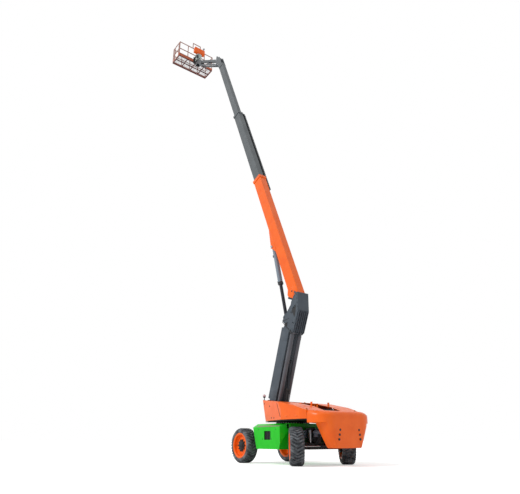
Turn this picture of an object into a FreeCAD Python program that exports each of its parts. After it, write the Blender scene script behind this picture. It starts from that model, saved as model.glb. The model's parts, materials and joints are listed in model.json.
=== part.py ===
"""An articulating boom lift: a self-propelled aerial work platform on four wheels.

A chassis with two steered wheels carries a turntable that swings all round. A tower
boom with a parallel pair of level rods holds up a knuckle, and a three-section
telescopic boom is pinned on that knuckle. A short jib and a rotator carry the platform.

The frame: the origin is on the ground under the swing axis, +X points to the boom's
side of the machine, +Y to its left and +Z up. Lengths are in millimetres, angles in
degrees. A piece of a boom is drawn in the boom's own frame, with X along the boom from
its foot pin and Z away from the machine's underside, and is then set at its pin.
"""
import FreeCAD, Part
import Sketcher
import os
import re

SIZES = {
    # longer than any piece is wide, for tools that cut right through
    "through": 1000,
    # running gear
    "wheelbase": 2840,
    "track": 2050,
    "tyre_diameter": 1120,
    "tyre_width": 430,
    "tyre_shoulder": 55,
    "tyre_sides": 26,
    "bead_flare": 15,
    "lug_root": 20,
    "lug_width": 40,
    "lug_sweep": 72,
    "rim_diameter": 740,
    "rim_wall": 22,
    "rim_lip": 20,
    "dish_depth": 115,
    "dish_wall": 20,
    "hub_diameter": 310,
    "hub_depth": 110,
    "hub_nose_diameter": 200,
    "hub_nose_length": 75,
    "hub_cap_diameter": 120,
    "hub_cap_height": 20,
    "hub_nuts": 10,
    "nut_circle": 258,
    "nut_size": 62,
    "nut_height": 34,
    "spindle_diameter": 100,
    "spindle_length": 70,
    "axle_height": 200,
    "axle_depth": 220,
    "axle_half_length": 620,
    "axle_neck": 70,
    "final_drive_diameter": 260,
    "drive_start": 450,
    "pin_gap": 5,
    "kingpin_offset": 160,
    "kingpin_diameter": 70,
    "boss_diameter": 140,
    "boss_height": 260,
    "ear_gap": 10,
    "ear_thickness": 60,
    "yoke_thickness": 50,
    "yoke_width": 200,
    "yoke_reach": 80,
    "steer_rest": 36,
    "steer_arm": 200,
    "arm_width": 60,
    "arm_root": 50,
    "arm_gap": 10,
    "steer_rod_setback": 185,
    "steer_rod_diameter": 44,
    "steer_rod_eye": 60,
    "steer_rod_eye_height": 40,
    "steer_cylinder_diameter": 90,
    "steer_cylinder_length": 500,
    "arm_plate": 15,
    # chassis
    "chassis_width": 2200,
    "chassis_bottom": 460,
    "chassis_shoulder": 1130,
    "chassis_top": 1240,
    "chassis_top_length": 1600,
    "chassis_bottom_length": 1200,
    "chassis_cap_inset": 200,
    "chassis_wall": 25,
    "chassis_tail_x": 650,
    "chassis_tail_half": 760,
    "window_width": 340,
    "window_low": 740,
    "window_high": 1010,
    "beam_inner": 300,
    "beam_outer": 400,
    "beam_high": 1040,
    "beam_reach": 1700,
    "tie_down_x": 1750,
    "tie_down_z": 800,
    "tie_down_plate": 30,
    "tie_down_diameter": 60,
    "bearing_diameter": 1120,
    "bearing_bore": 840,
    "bearing_gap": 1,
    # turntable
    "deck_low": 1310,
    "deck_plate": 25,
    "deck_front": 800,
    "deck_front_half": 560,
    "deck_knee": 700,
    "deck_half": 1120,
    "channel_half": 330,
    "rail_plate": 25,
    "rail_top": 1780,
    "tower_pin_x": 894,
    "tower_pin_z": 1950,
    "rod_offset_x": 270,
    "rod_offset_z": 320,
    "tower_pin_diameter": 80,
    "rod_pin_diameter": 60,
    "pin_clearance": 0.5,
    "cover_gap": 6,
    "cover_skin": 12,
    "cover_inner": 370,
    "cover_half": 1200,
    "cover_rear_half": 1130,
    "cover_low": 1337,
    "nose_front_high": 840,
    "nose_front_low": 560,
    "nose_front_half": 650,
    "nose_top": 2045,
    "seam_high_x": 690,
    "seam_low_x": 1000,
    "seam_top": 1890,
    "hood_crest": 1740,
    "hood_crest_x": 1500,
    "shoulder_angle": 11,
    "shoulder_height": 1895,
    "shoulder_rise": 130,
    "hood_top": 1590,
    "hood_hinge_z": 1870,
    "hood_hinge_front": 900,
    "hood_hinge_rear": 1440,
    "hinge_diameter": 24,
    "hinge_length": 80,
    "hood_rear": 2000,
    "weight_rear": 2660,
    "weight_rear_half": 560,
    "weight_low": 510,
    "weight_knee": 1220,
    "weight_front_half": 880,
    "weight_front_x": 2190,
    "weight_foot_half": 650,
    "weight_foot_x": 2310,
    "weight_inner_x": 2400,
    "weight_inner_half": 400,
    "weight_top": 1540,
    "weight_bend_x": 310,
    "weight_bend_half": 1000,
    "weight_turn_x": 540,
    "weight_turn_half": 800,
    "weight_waist_x": 350,
    "weight_waist_half": 930,
    "weight_foot_length": 110,
    "weight_draft": 50,
    "engine_length": 620,
    "engine_x": 1650,
    "engine_width": 560,
    "engine_height": 235,
    "engine_inset": 60,
    "beacon_diameter": 110,
    "beacon_height": 120,
    "beacon_post": 80,
    "beacon_post_diameter": 30,
    "beacon_x": 820,
    "beacon_y": 600,
    # tower boom and level rods
    "tower_angle": 109.3,
    "tower_length": 2860,
    "tower_half_width": 225,
    "tower_front": 244,
    "tower_back": 205,
    "tower_wall": 8,
    "tower_cheek": 25,
    "tower_cheek_radius": 110,
    "level_rod_diameter": 150,
    "level_rod_spread": 170,
    "level_rod_eye": 150,
    "level_rod_eye_width": 90,
    "tower_cylinder_x": 350,
    "tower_cylinder_z": 1460,
    "tower_lug_s": 1596,
    "tower_lug_t": 280,
    "tower_barrel_diameter": 136,
    "tower_barrel_length": 980,
    "tower_rod_diameter": 84,
    "tower_rod_length": 1000,
    "small_lug_inner": 50,
    "small_lug_plate": 20,
    "small_pin_diameter": 50,
    "small_eye_diameter": 110,
    # knuckle
    "knuckle_half_inner": 235,
    "knuckle_plate": 25,
    "boom_pin_dx": 440,
    "boom_pin_dz": 1150,
    "boom_pin_diameter": 90,
    "knuckle_lug_inner": 60,
    "knuckle_lug_plate": 50,
    "lift_foot_dx": 270,
    "lift_foot_dz": 345,
    "knuckle_hole": 60,
    "cover_ribs": 6,
    "cover_rib": 24,
    # telescopic boom
    "boom_angle": 68.2,
    "base_half_width": 160,
    "base_low": 310,
    "base_high": 165,
    "base_wall": 8,
    "base_length": 6400,
    "base_foot": 130,
    "base_hole": 80,
    "base_hole_s": 117,
    "base_hole_t": 112,
    "collar_length": 140,
    "collar_lip": 25,
    "mid_half_width": 135,
    "mid_low": 270,
    "mid_high": 125,
    "mid_wall": 7,
    "mid_tail": 5140,
    "mid_length": 6260,
    "fly_half_width": 110,
    "fly_low": 240,
    "fly_high": 95,
    "fly_wall": 6,
    "fly_tail": 10230,
    "fly_length": 6100,
    "lift_lug_s": 2596,
    "lift_lug_t": 459,
    "lift_lug_inner": 72,
    "lift_lug_plate": 30,
    "lift_pin_diameter": 70,
    "lift_barrel_diameter": 190,
    "lift_barrel_length": 1700,
    "lift_rod_diameter": 130,
    "lift_rod_length": 1680,
    "lift_bracket_inner": 102,
    "gland_length": 90,
    "gland_lip": 12,
    "carrier_tail": 5600,
    "carrier_length": 5730,
    "carrier_inner": 195,
    "carrier_arm": 60,
    "carrier_width": 70,
    "carrier_low": 20,
    "carrier_depth": 120,
    "link_pitch": 120,
    "link_length": 84,
    "link_lip": 8,
    # head, jib and rotator
    "head_pin_s": 16900,
    "head_pin_t": 50,
    "head_pin_diameter": 70,
    "head_plate": 20,
    "jib_pin_dx": 267,
    "jib_pin_dz": 107,
    "jib_rod_dx": 40,
    "jib_rod_dz": 350,
    "jib_length": 2453,
    "jib_angle": 35.4,
    "jib_half_width": 85,
    "jib_slot_half": 60,
    "jib_slot_end": 1450,
    "jib_tip_wall": 150,
    "jib_depth": 130,
    "jib_wall": 6,
    "jib_pin_diameter": 50,
    "jib_plate_inner": 90,
    "jib_plate": 14,
    "jib_bar_inner": 110,
    "jib_bar_width": 25,
    "jib_bar_depth": 90,
    "jib_lug_s": 1250,
    "jib_lug_t": 127,
    "jib_barrel_diameter": 84,
    "jib_barrel_length": 740,
    "jib_rod_diameter": 50,
    "jib_rod_length": 900,
    "rotator_x": 500,
    "rotator_diameter": 410,
    "rotator_rise": 420,
    "rotator_height": 440,
    "rotator_wall": 20,
    "seat_setback": 170,
    "seat_length": 300,
    "seat_half": 120,
    "seat_low": 80,
    "seat_high": 340,
    "neck_diameter": 160,
    "shaft_diameter": 120,
    "fork_overhang": 110,
    "fork_width": 300,
    "fork_plate": 20,
    "fork_gap": 8,
    "fork_wall": 30,
    "fork_wall_width": 400,
    "fork_shaft": 90,
    # platform
    "platform_depth": 910,
    "platform_width": 2440,
    "platform_rise": 545,
    "platform_rail": 1100,
    "platform_setback": 335,
    "rail_tube": 38,
    "floor_plate": 6,
    "floor_beam": 45,
    "toe_board": 150,
    "toe_plate": 4,
    "gate_inset": 120,
    "gate_width": 600,
    "gate_gap": 6,
    "gate_low": 20,
    "gate_hinge_out": 14,
    "gate_hinge_low": 250,
    "gate_hinge_high": 750,
    "console_width": 720,
    "console_rise": 715,
    "console_height": 380,
    "console_skin": 6,
    "console_depth": 200,
    "console_gap": 6,
    "console_front": 270,
    "console_y": 140,
    "hoop_half": 285,
    "hoop_height": 445,
}

# Places worked out from the sizes, as expressions on the same words.
KINGPIN_X = "-wheelbase / 2"
KINGPIN_Y = "(track / 2 - kingpin_offset)"
WHEEL_Z = "tyre_diameter / 2"
TOWER_COS = "cos(tower_angle * 1deg)"
TOWER_SIN = "sin(tower_angle * 1deg)"
ROD_PIN_X = "(tower_pin_x - rod_offset_x)"
ROD_PIN_Z = "(tower_pin_z - rod_offset_z)"
KNUCKLE_X = f"(tower_pin_x + tower_length * {TOWER_COS})"
KNUCKLE_Z = f"(tower_pin_z + tower_length * {TOWER_SIN})"
ROD_TOP_X = f"({KNUCKLE_X} - rod_offset_x)"
ROD_TOP_Z = f"({KNUCKLE_Z} - rod_offset_z)"
BOOM_X = f"({KNUCKLE_X} - boom_pin_dx)"
BOOM_Z = f"({KNUCKLE_Z} + boom_pin_dz)"
LIFT_FOOT_X = f"({KNUCKLE_X} + lift_foot_dx)"
LIFT_FOOT_Z = f"({KNUCKLE_Z} + lift_foot_dz)"
BOOM_COS = "cos(boom_angle * 1deg)"
BOOM_SIN = "sin(boom_angle * 1deg)"
HEAD_X = f"({BOOM_X} + head_pin_s * {BOOM_COS} + head_pin_t * {BOOM_SIN})"
HEAD_Z = f"({BOOM_Z} + head_pin_s * {BOOM_SIN} - head_pin_t * {BOOM_COS})"
JIB_X = f"({HEAD_X} + jib_pin_dx)"
JIB_Z = f"({HEAD_Z} + jib_pin_dz)"
JIB_END_X = f"({JIB_X} + jib_length * cos(jib_angle * 1deg))"
JIB_END_Z = f"({JIB_Z} + jib_length * sin(jib_angle * 1deg))"
ROTATOR_X = f"({JIB_END_X} + rotator_x)"
BASKET_X = f"({ROTATOR_X} + platform_setback)"
DRUM_LOW = f"({JIB_END_Z} + rotator_rise)"
DRUM_HIGH = f"({DRUM_LOW} + rotator_height)"
FLOOR_Z = f"({JIB_END_Z} + platform_rise)"
BEAM_LOW = f"({WHEEL_Z} + axle_height / 2)"

doc = FreeCAD.newDocument("BoomLift")
sheet = doc.addObject("Spreadsheet::Sheet", "Sizes")
for row, (word, number) in enumerate(SIZES.items(), start=1):
    sheet.set(f"A{row}", word)
    sheet.set(f"B{row}", str(number))
    sheet.setAlias(f"B{row}", word)
doc.recompute()

SUBPARTS = []
UP = FreeCAD.Vector(0, 0, 1)
TILT = FreeCAD.Vector(0, -1, 0)


def ref(text):
    """The expression with each size word pointed at its cell in the sheet."""
    return re.sub(r"[a-z][a-z_]*", lambda m: "Sizes." + m[0] if m[0] in SIZES else m[0], text)


def number(text):
    """What an expression is worth now."""
    result = sheet.evalExpression(ref(text))
    return float(getattr(result, "Value", result))


def bind(thing, path, text):
    """Tie one property to the sheet."""
    thing.setExpression(path, ref(text))


def place(thing, at=("0", "0", "0"), axis=None, angle="0"):
    """Set a piece at a point, turned about an axis through its own origin."""
    if axis is not None:
        thing.Placement = FreeCAD.Placement(FreeCAD.Vector(), FreeCAD.Rotation(axis, number(angle)))
        bind(thing, "Placement.Rotation.Angle", angle)
    for letter, text in zip("xyz", at):
        bind(thing, f"Placement.Base.{letter}", text)
    return thing


def subpart(label, thing):
    """Name a finished piece and keep it for export."""
    thing.Label = label
    SUBPARTS.append(thing)
    return thing


def origin_plane(body, role):
    """One of a body's own origin planes."""
    return next(f for f in body.Origin.OriginFeatures if f.Role == role)


def add_circle(drawing, x, y, radius):
    """A bound circle in a sketch."""
    middle = FreeCAD.Vector(number(x), number(y), 0)
    index = drawing.addGeometry(Part.Circle(middle, FreeCAD.Vector(0, 0, 1), number(radius)), False)
    for kind, text in (("DistanceX", x), ("DistanceY", y)):
        datum = drawing.addConstraint(Sketcher.Constraint(kind, index, 3, number(text)))
        bind(drawing, f"Constraints[{datum}]", text)
    datum = drawing.addConstraint(Sketcher.Constraint("Radius", index, number(radius)))
    bind(drawing, f"Constraints[{datum}]", radius)


def add_outline(drawing, points):
    """A closed outline of straight edges in a sketch, each corner bound to the sheet."""
    corners = [FreeCAD.Vector(number(x), number(y), 0) for x, y in points]
    count = len(corners)
    first = drawing.GeometryCount
    for i in range(count):
        drawing.addGeometry(Part.LineSegment(corners[i], corners[(i + 1) % count]), False)
    for i in range(count):
        drawing.addConstraint(
            Sketcher.Constraint("Coincident", first + i, 2, first + (i + 1) % count, 1))
    for i, (x, y) in enumerate(points):
        for kind, text in (("DistanceX", x), ("DistanceY", y)):
            datum = drawing.addConstraint(Sketcher.Constraint(kind, first + i, 1, number(text)))
            bind(drawing, f"Constraints[{datum}]", text)


def sketch(body, role, loops):
    """A sketch on one of the body's planes. A loop is a list of corners or an (x, y, radius)."""
    drawing = body.newObject("Sketcher::SketchObject", body.Name + "Sketch")
    drawing.AttachmentSupport = [(origin_plane(body, role), "")]
    drawing.MapMode = "FlatFace"
    for loop in loops:
        if isinstance(loop, tuple):
            add_circle(drawing, *loop)
        else:
            add_outline(drawing, loop)
    return drawing


def pad(name, role, loops, length, midplane=False):
    """A body made of one padded sketch."""
    body = doc.addObject("PartDesign::Body", name)
    drawing = sketch(body, role, loops)
    feature = body.newObject("PartDesign::Pad", name + "Pad")
    feature.Profile = drawing
    feature.Midplane = midplane
    bind(feature, "Length", length)
    body.Tip = feature
    return body


def slab(name, loops, thickness, middle="0"):
    """A plate seen from the side: drawn in X and Z, thick along Y about its middle."""
    return place(pad(name, "XZ_Plane", loops, thickness, midplane=True), ("0", middle, "0"))


def beam(name, loops, start, length):
    """A bar along X: drawn in Y and Z, from its start."""
    return place(pad(name, "YZ_Plane", loops, length), (start, "0", "0"))


def plate(name, loops, low, height):
    """A flat piece seen from above: drawn in X and Y, from its low face up."""
    return place(pad(name, "XY_Plane", loops, height), ("0", "0", low))


def spin(name, points):
    """A body of revolution about Y: drawn as (y, radius) corners."""
    body = doc.addObject("PartDesign::Body", name)
    drawing = sketch(body, "YZ_Plane", [points])
    feature = body.newObject("PartDesign::Revolution", name + "Revolution")
    feature.Profile = drawing
    feature.ReferenceAxis = (drawing, ["H_Axis"])
    feature.Angle = 360
    body.Tip = feature
    return body


def facet_loft(name, stations):
    """A faceted body of revolution about Y, lofted through (y, radius of the corners) stations."""
    rings = []
    for i, (y, radius) in enumerate(stations):
        ring = doc.addObject("Part::RegularPolygon", f"{name}Ring{i}")
        bind(ring, "Polygon", "tyre_sides")
        bind(ring, "Circumradius", radius)
        rings.append(place(ring, ("0", y, "0"), FreeCAD.Vector(1, 0, 0), "90"))
    loft = doc.addObject("Part::Loft", name)
    loft.Sections = rings
    loft.Solid = True
    loft.Ruled = True
    return loft


def block(name, low, size):
    """A box from its low corner."""
    solid = doc.addObject("Part::Box", name)
    for path, text in zip(("Length", "Width", "Height"), size):
        bind(solid, path, text)
    return place(solid, low)


def bar(name, start, direction, diameter, length):
    """A round bar from a point along x, y or z."""
    solid = doc.addObject("Part::Cylinder", name)
    bind(solid, "Radius", f"({diameter}) / 2")
    bind(solid, "Height", length)
    turns = {"x": (FreeCAD.Vector(0, 1, 0), "90"), "y": (FreeCAD.Vector(1, 0, 0), "-90"),
             "z": (None, "0")}
    return place(solid, start, *turns[direction])


def cross_bar(name, x, z, diameter, width):
    """A round bar along Y, as long as width and centred on the machine's middle."""
    return bar(name, (x, f"-({width}) / 2", z), "y", diameter, width)


def fuse(name, pieces):
    """Several solids joined into one."""
    joined = doc.addObject("Part::MultiFuse", name)
    joined.Shapes = pieces
    joined.Refine = True
    return joined


def cut(name, base, tools):
    """A solid less one or more others."""
    less = doc.addObject("Part::Cut", name)
    less.Base = base
    less.Tool = tools[0] if len(tools) == 1 else fuse(name + "Tools", tools)
    less.Refine = True
    return less


def common(name, pieces):
    """What several solids share."""
    shared = doc.addObject("Part::MultiCommon", name)
    shared.Shapes = pieces
    return shared


def mirror(name, source):
    """The same piece on the machine's other side."""
    twin = doc.addObject("Part::Mirroring", name)
    twin.Source = source
    twin.Normal = FreeCAD.Vector(0, 1, 0)
    return twin


def rectangle(half_width, low, high):
    """A rectangle that is symmetric about the middle."""
    return [(f"-({half_width})", low), (half_width, low), (half_width, high),
            (f"-({half_width})", high)]


def pair(name, loops, inner, thickness):
    """Two like plates, one each side of the middle, from their inner faces out."""
    middle = f"({inner}) + ({thickness}) / 2"
    left = slab(name + "Left", loops, thickness, middle)
    right = slab(name + "Right", loops, thickness, f"-({middle})")
    return [left, right]


def tube(name, half_width, low, high, wall, start, length):
    """A rectangular tube along X."""
    outer = rectangle(half_width, low, high)
    inner = rectangle(f"{half_width} - {wall}", f"{low} + {wall}", f"{high} - {wall}")
    return beam(name, [outer, inner], start, length)


def collar(name, half_width, low, high, wall, lip, start, length):
    """A sleeve round a rectangular tube's mouth."""
    outer = rectangle(f"{half_width} + {lip}", f"{low} - {lip}", f"{high} + {lip}")
    inner = rectangle(f"{half_width} - {wall}", f"{low} + {wall}", f"{high} - {wall}")
    return beam(name, [outer, inner], start, length)


def eyes(name, root, x, z, radius, inner, thickness):
    """Two lug plates with round ends at (x, z), from a root outline, to be fused and bored."""
    plates = pair(name, [root], inner, thickness)
    left = bar(name + "EndLeft", (x, inner, z), "y", f"2 * ({radius})", thickness)
    right = bar(name + "EndRight", (x, f"-({inner}) - ({thickness})", z), "y",
                f"2 * ({radius})", thickness)
    return plates + [left, right]


def stubs(name, x, z, diameter, inner, outer):
    """Two short pins in line along Y, one each side, between an inner and an outer face."""
    length = f"{outer} - ({inner})"
    return [bar(name + "Left", (x, inner, z), "y", diameter, length),
            bar(name + "Right", (x, f"-({outer})", z), "y", diameter, length)]


# Running gear


def tyre(tag):
    """A tyre with a ring of chevron lugs over its tread and shoulders, faceted to stay light."""
    half = "tyre_width / 2"
    tread = f"({half} - tyre_shoulder)"
    outer_r = "tyre_diameter / 2"
    shoulder_r = f"({outer_r} - tyre_shoulder)"
    seat = f"({half} - rim_lip - 5)"
    spread = "cos(180deg / tyre_sides)"
    carcass = facet_loft(f"{tag}Carcass", [(f"-({half})", f"{shoulder_r} / {spread}"),
                                           (half, f"{shoulder_r} / {spread}")])
    seats = facet_loft(f"{tag}Seat", [(f"-({half})", f"rim_diameter / 2 / {spread}"),
                                      (half, f"rim_diameter / 2 / {spread}")])
    lip = f"(rim_diameter / 2 + rim_lip) / {spread}"
    flares = [facet_loft(f"{tag}Bead{name}", [(f"{sign}{seat}", lip),
                                              (f"{sign}({half})", f"{lip} + bead_flare")])
              for name, sign in (("Out", ""), ("In", "-"))]
    body = doc.addObject("PartDesign::Body", f"{tag}Lugs")
    body.AllowCompound = True
    front, rear = "(lug_sweep + lug_width) / 2", "(lug_sweep - lug_width) / 2"
    chevron = sketch(body, "XY_Plane", [[
        (rear, half), (front, half), (f"-{rear}", "0"), (front, f"-({half})"), (rear, f"-({half})"),
        (f"-({front})", "0")]])
    bind(chevron, "AttachmentOffset.Base.z", f"{shoulder_r} - lug_root")
    lug = body.newObject("PartDesign::Pad", f"{tag}Lug")
    lug.Profile = chevron
    bind(lug, "Length", "tyre_shoulder + lug_root")
    corners = [[(f"{sign}{tread}", outer_r), (f"{sign}({half})", outer_r),
                (f"{sign}({half})", shoulder_r)] for sign in ("", "-")]
    shoulders = sketch(body, "YZ_Plane", corners)
    bevel = body.newObject("PartDesign::Pocket", f"{tag}Bevel")
    bevel.Profile = shoulders
    bevel.Midplane = True
    bind(bevel, "Length", "lug_sweep + lug_width + 4")
    row = body.newObject("PartDesign::PolarPattern", f"{tag}Row")
    row.Originals = [lug, bevel]
    row.Axis = (origin_plane(body, "Y_Axis"), [""])
    row.Angle = 360
    bind(row, "Occurrences", "tyre_sides")
    body.Tip = row
    return cut(f"{tag}Tyre", fuse(f"{tag}Solid", [carcass, body]), [seats] + flares)


def hex_nut(name, angle, face):
    """One of the large nuts round a hub, on the disc's outer face."""
    nut = doc.addObject("Part::Prism", name)
    nut.Polygon = 6
    bind(nut, "Circumradius", "nut_size / 2")
    bind(nut, "Height", "nut_height + 5")
    at = (f"nut_circle / 2 * cos({angle} * 1deg)", f"{face} - 5",
          f"nut_circle / 2 * sin({angle} * 1deg)")
    return place(nut, at, FreeCAD.Vector(-1, 0, 0), "90")


def wheel(side, end, at, angle):
    """A tyre, a deep-dish rim and a planetary hub, drawn with +Y outboard."""
    half = "tyre_width / 2"
    seat = f"{half} - rim_lip - 5"
    rim_face = f"{half} - 10"
    rim_r = "rim_diameter / 2"
    lip_r = f"{rim_r} + rim_lip"
    barrel_r = f"{rim_r} - rim_wall"
    disc_out = f"{half} - dish_depth"
    disc_in = f"{disc_out} - dish_wall"
    root_out = f"{disc_out} - 30"
    root_in = f"{root_out} - dish_wall"
    hub_r = "hub_diameter / 2"
    nose_r = "hub_nose_diameter / 2"
    rim = spin(f"Rim{side}{end}", [
        (f"-({rim_face})", barrel_r), (f"-({rim_face})", lip_r), (f"-({seat})", lip_r),
        (f"-({seat})", rim_r), (seat, rim_r), (seat, lip_r), (rim_face, lip_r),
        (rim_face, barrel_r), (root_out, barrel_r), (disc_out, hub_r), (disc_out, nose_r),
        (disc_in, nose_r), (disc_in, hub_r), (root_in, barrel_r)])
    bore_r = "spindle_diameter / 2 + pin_clearance"
    cap_r = "hub_cap_diameter / 2"
    hub_back = f"{disc_in} - hub_depth"
    nose_end = f"{disc_out} + hub_nose_length"
    hub = spin(f"Hub{side}{end}", [
        (hub_back, bore_r), (hub_back, hub_r), (disc_in, hub_r), (disc_in, nose_r),
        (nose_end, nose_r), (nose_end, cap_r), (f"{nose_end} + hub_cap_height", cap_r),
        (f"{nose_end} + hub_cap_height", "0"), (f"{hub_back} + spindle_length + 10", "0"),
        (f"{hub_back} + spindle_length + 10", bore_r)])
    nuts = [hex_nut(f"Nut{side}{end}{i}", f"{i} * 360 / hub_nuts", disc_out)
            for i in range(SIZES["hub_nuts"])]
    whole = fuse(f"RimHub{side}{end}", [rim, hub] + nuts)
    for kind, piece in (("tyre", tyre(side + end)), ("rim", whole)):
        place(piece, at, UP, angle)
        subpart(f"{end}_{side}_{kind}".lower(), piece)


HUB_BACK = "(tyre_width / 2 - dish_depth - dish_wall - hub_depth)"


def wheels():
    """Four wheels: the front pair runs straight, the rear pair is turned on its kingpins."""
    half = "track / 2"
    wheel("Left", "Front", ("wheelbase / 2", half, WHEEL_Z), "0")
    wheel("Right", "Front", ("wheelbase / 2", f"-{half}", WHEEL_Z), "180")
    shift_x = "kingpin_offset * sin(steer_rest * 1deg)"
    shift_y = "kingpin_offset * cos(steer_rest * 1deg)"
    wheel("Left", "Rear", (f"{KINGPIN_X} + {shift_x}", f"{KINGPIN_Y} + {shift_y}", WHEEL_Z),
          "-steer_rest")
    wheel("Right", "Rear", (f"{KINGPIN_X} - {shift_x}", f"-{KINGPIN_Y} - {shift_y}", WHEEL_Z),
          "180 - steer_rest")


def steer_knuckle(side, y, angle):
    """A fork on the kingpin with the wheel spindle outboard and the steering arm behind."""
    inner_half = "(boss_height / 2 + ear_gap)"
    outer_half = f"({inner_half} + ear_thickness)"
    ear_out = "(yoke_reach + yoke_thickness)"
    tag = f"Knuckle{side}"
    ears = []
    for name, low in (("Upper", inner_half), ("Lower", f"-{outer_half}")):
        ears.append(block(f"{tag}{name}Ear", ("-yoke_width / 2", "-boss_diameter / 2", low),
                          ("yoke_width", f"boss_diameter / 2 + {ear_out}", "ear_thickness")))
    yoke = block(f"{tag}Yoke", ("-yoke_width / 2", "yoke_reach", f"-{outer_half}"),
                 ("yoke_width", "yoke_thickness", f"2 * {outer_half}"))
    kingpin = bar(f"{tag}Pin", ("0", "0", f"-{outer_half}"), "z", "kingpin_diameter",
                  f"2 * {outer_half}")
    hub_face = f"(kingpin_offset + {HUB_BACK})"
    spindle = bar(f"{tag}Spindle", ("0", ear_out, "0"), "y", "spindle_diameter",
                  f"{hub_face} - {ear_out} + spindle_length")
    eye_half = "(steer_rod_eye_height / 2)"
    arms = []
    arm_x = "-steer_arm - arm_width / 2"
    root_x = "-boss_diameter / 2 - arm_gap - arm_root"
    if side == "Right":
        arm_x = "boss_diameter / 2 + arm_gap"
        root_x = arm_x
    for name, low in (("Upper", f"{eye_half} + arm_gap"), ("Lower", f"-{eye_half} - arm_gap - arm_plate")):
        arms.append(block(f"{tag}{name}Arm", (arm_x, "-arm_width / 2", low),
                          ("steer_arm + arm_width / 2 - boss_diameter / 2 - arm_gap", "arm_width",
                           "arm_plate")))
        arms.append(block(f"{tag}{name}ArmRoot", (root_x, "-arm_width / 2", low),
                          ("arm_root", "yoke_reach + arm_width", "arm_plate")))
    piece = fuse(f"{tag}Body", ears + [yoke, kingpin, spindle] + arms)
    place(piece, (KINGPIN_X, y, WHEEL_Z), UP, angle)
    subpart(f"steer_knuckle_{side}".lower(), piece)


def front_axle():
    """A drive axle bolted across the frame, with a final drive and a spindle at each end."""
    casing = block("FrontCasing", ("wheelbase / 2 - axle_depth / 2", "-axle_half_length",
                                   f"{WHEEL_Z} - axle_height / 2"),
                   ("axle_depth", "2 * axle_half_length", "axle_height"))
    face = f"(track / 2 + {HUB_BACK})"
    drive_length = f"({face} - pin_gap - drive_start)"
    drives = [bar(f"FrontDrive{name}", ("wheelbase / 2", y, WHEEL_Z), "y", "final_drive_diameter",
                  drive_length)
              for name, y in (("Left", "drive_start"), ("Right", f"-drive_start - {drive_length}"))]
    spindles = cross_bar("FrontSpindles", "wheelbase / 2", WHEEL_Z, "spindle_diameter",
                         f"2 * ({face} + spindle_length)")
    subpart("front_axle", fuse("FrontAxleBody", [casing, spindles] + drives))


def rear_axle():
    """The steering axle: a beam with a bored boss for the kingpin at each end."""
    low = f"{WHEEL_Z} - boss_height / 2"
    casing = block("RearCasing", (f"{KINGPIN_X} - axle_depth / 2", "-axle_half_length",
                                  f"{WHEEL_Z} - axle_height / 2"),
                   ("axle_depth", "2 * axle_half_length", "axle_height"))
    neck = block("RearNeck", (f"{KINGPIN_X} - axle_neck / 2", f"-{KINGPIN_Y}",
                              f"{WHEEL_Z} - axle_height / 2"),
                 ("axle_neck", f"2 * {KINGPIN_Y}", "axle_height"))
    bosses = []
    bores = []
    for name, y in (("Left", KINGPIN_Y), ("Right", f"-{KINGPIN_Y}")):
        bosses.append(bar(f"RearBoss{name}", (KINGPIN_X, y, low), "z", "boss_diameter",
                          "boss_height"))
        bores.append(bar(f"RearBore{name}", (KINGPIN_X, y, low), "z",
                         "kingpin_diameter + 2 * pin_clearance", "boss_height"))
    solid = fuse("RearAxleSolid", [casing, neck] + bosses)
    subpart("rear_axle", cut("RearAxleBody", solid, bores))


STEER_ROD_X = f"({KINGPIN_X} - steer_rod_setback)"
STEER_SHIFT = "(steer_arm * sin(steer_rest * 1deg))"


def steering():
    """A double-ended cylinder behind the rear axle and the rod that slides through it."""
    half = "steer_cylinder_length / 2"
    barrel = cross_bar("SteerBarrel", STEER_ROD_X, WHEEL_Z, "steer_cylinder_diameter",
                       "steer_cylinder_length")
    mounts = []
    for name, y in (("Left", f"{half} - 120"), ("Right", f"60 - {half}")):
        mounts.append(block(f"SteerMount{name}", (STEER_ROD_X, y, f"{WHEEL_Z} - 30"),
                            (f"{KINGPIN_X} - axle_depth / 2 - {STEER_ROD_X}", "60", "60")))
    bore = cross_bar("SteerBore", STEER_ROD_X, WHEEL_Z, "steer_rod_diameter + 2 * pin_clearance",
                     "steer_cylinder_length")
    subpart("steer_cylinder", cut("SteerCylinderBody", fuse("SteerCase", [barrel] + mounts), [bore]))
    rod = bar("SteerRodBar", (STEER_ROD_X, f"{STEER_SHIFT} - {KINGPIN_Y}", WHEEL_Z), "y",
              "steer_rod_diameter", f"2 * {KINGPIN_Y}")
    ends = []
    for name, y in (("Left", f"{STEER_SHIFT} + {KINGPIN_Y}"),
                    ("Right", f"{STEER_SHIFT} - {KINGPIN_Y}")):
        ends.append(bar(f"SteerEye{name}", (STEER_ROD_X, y, f"{WHEEL_Z} - steer_rod_eye_height / 2"),
                        "z", "steer_rod_eye", "steer_rod_eye_height"))
    subpart("steer_rod", fuse("SteerRodBody", [rod] + ends))


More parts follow.
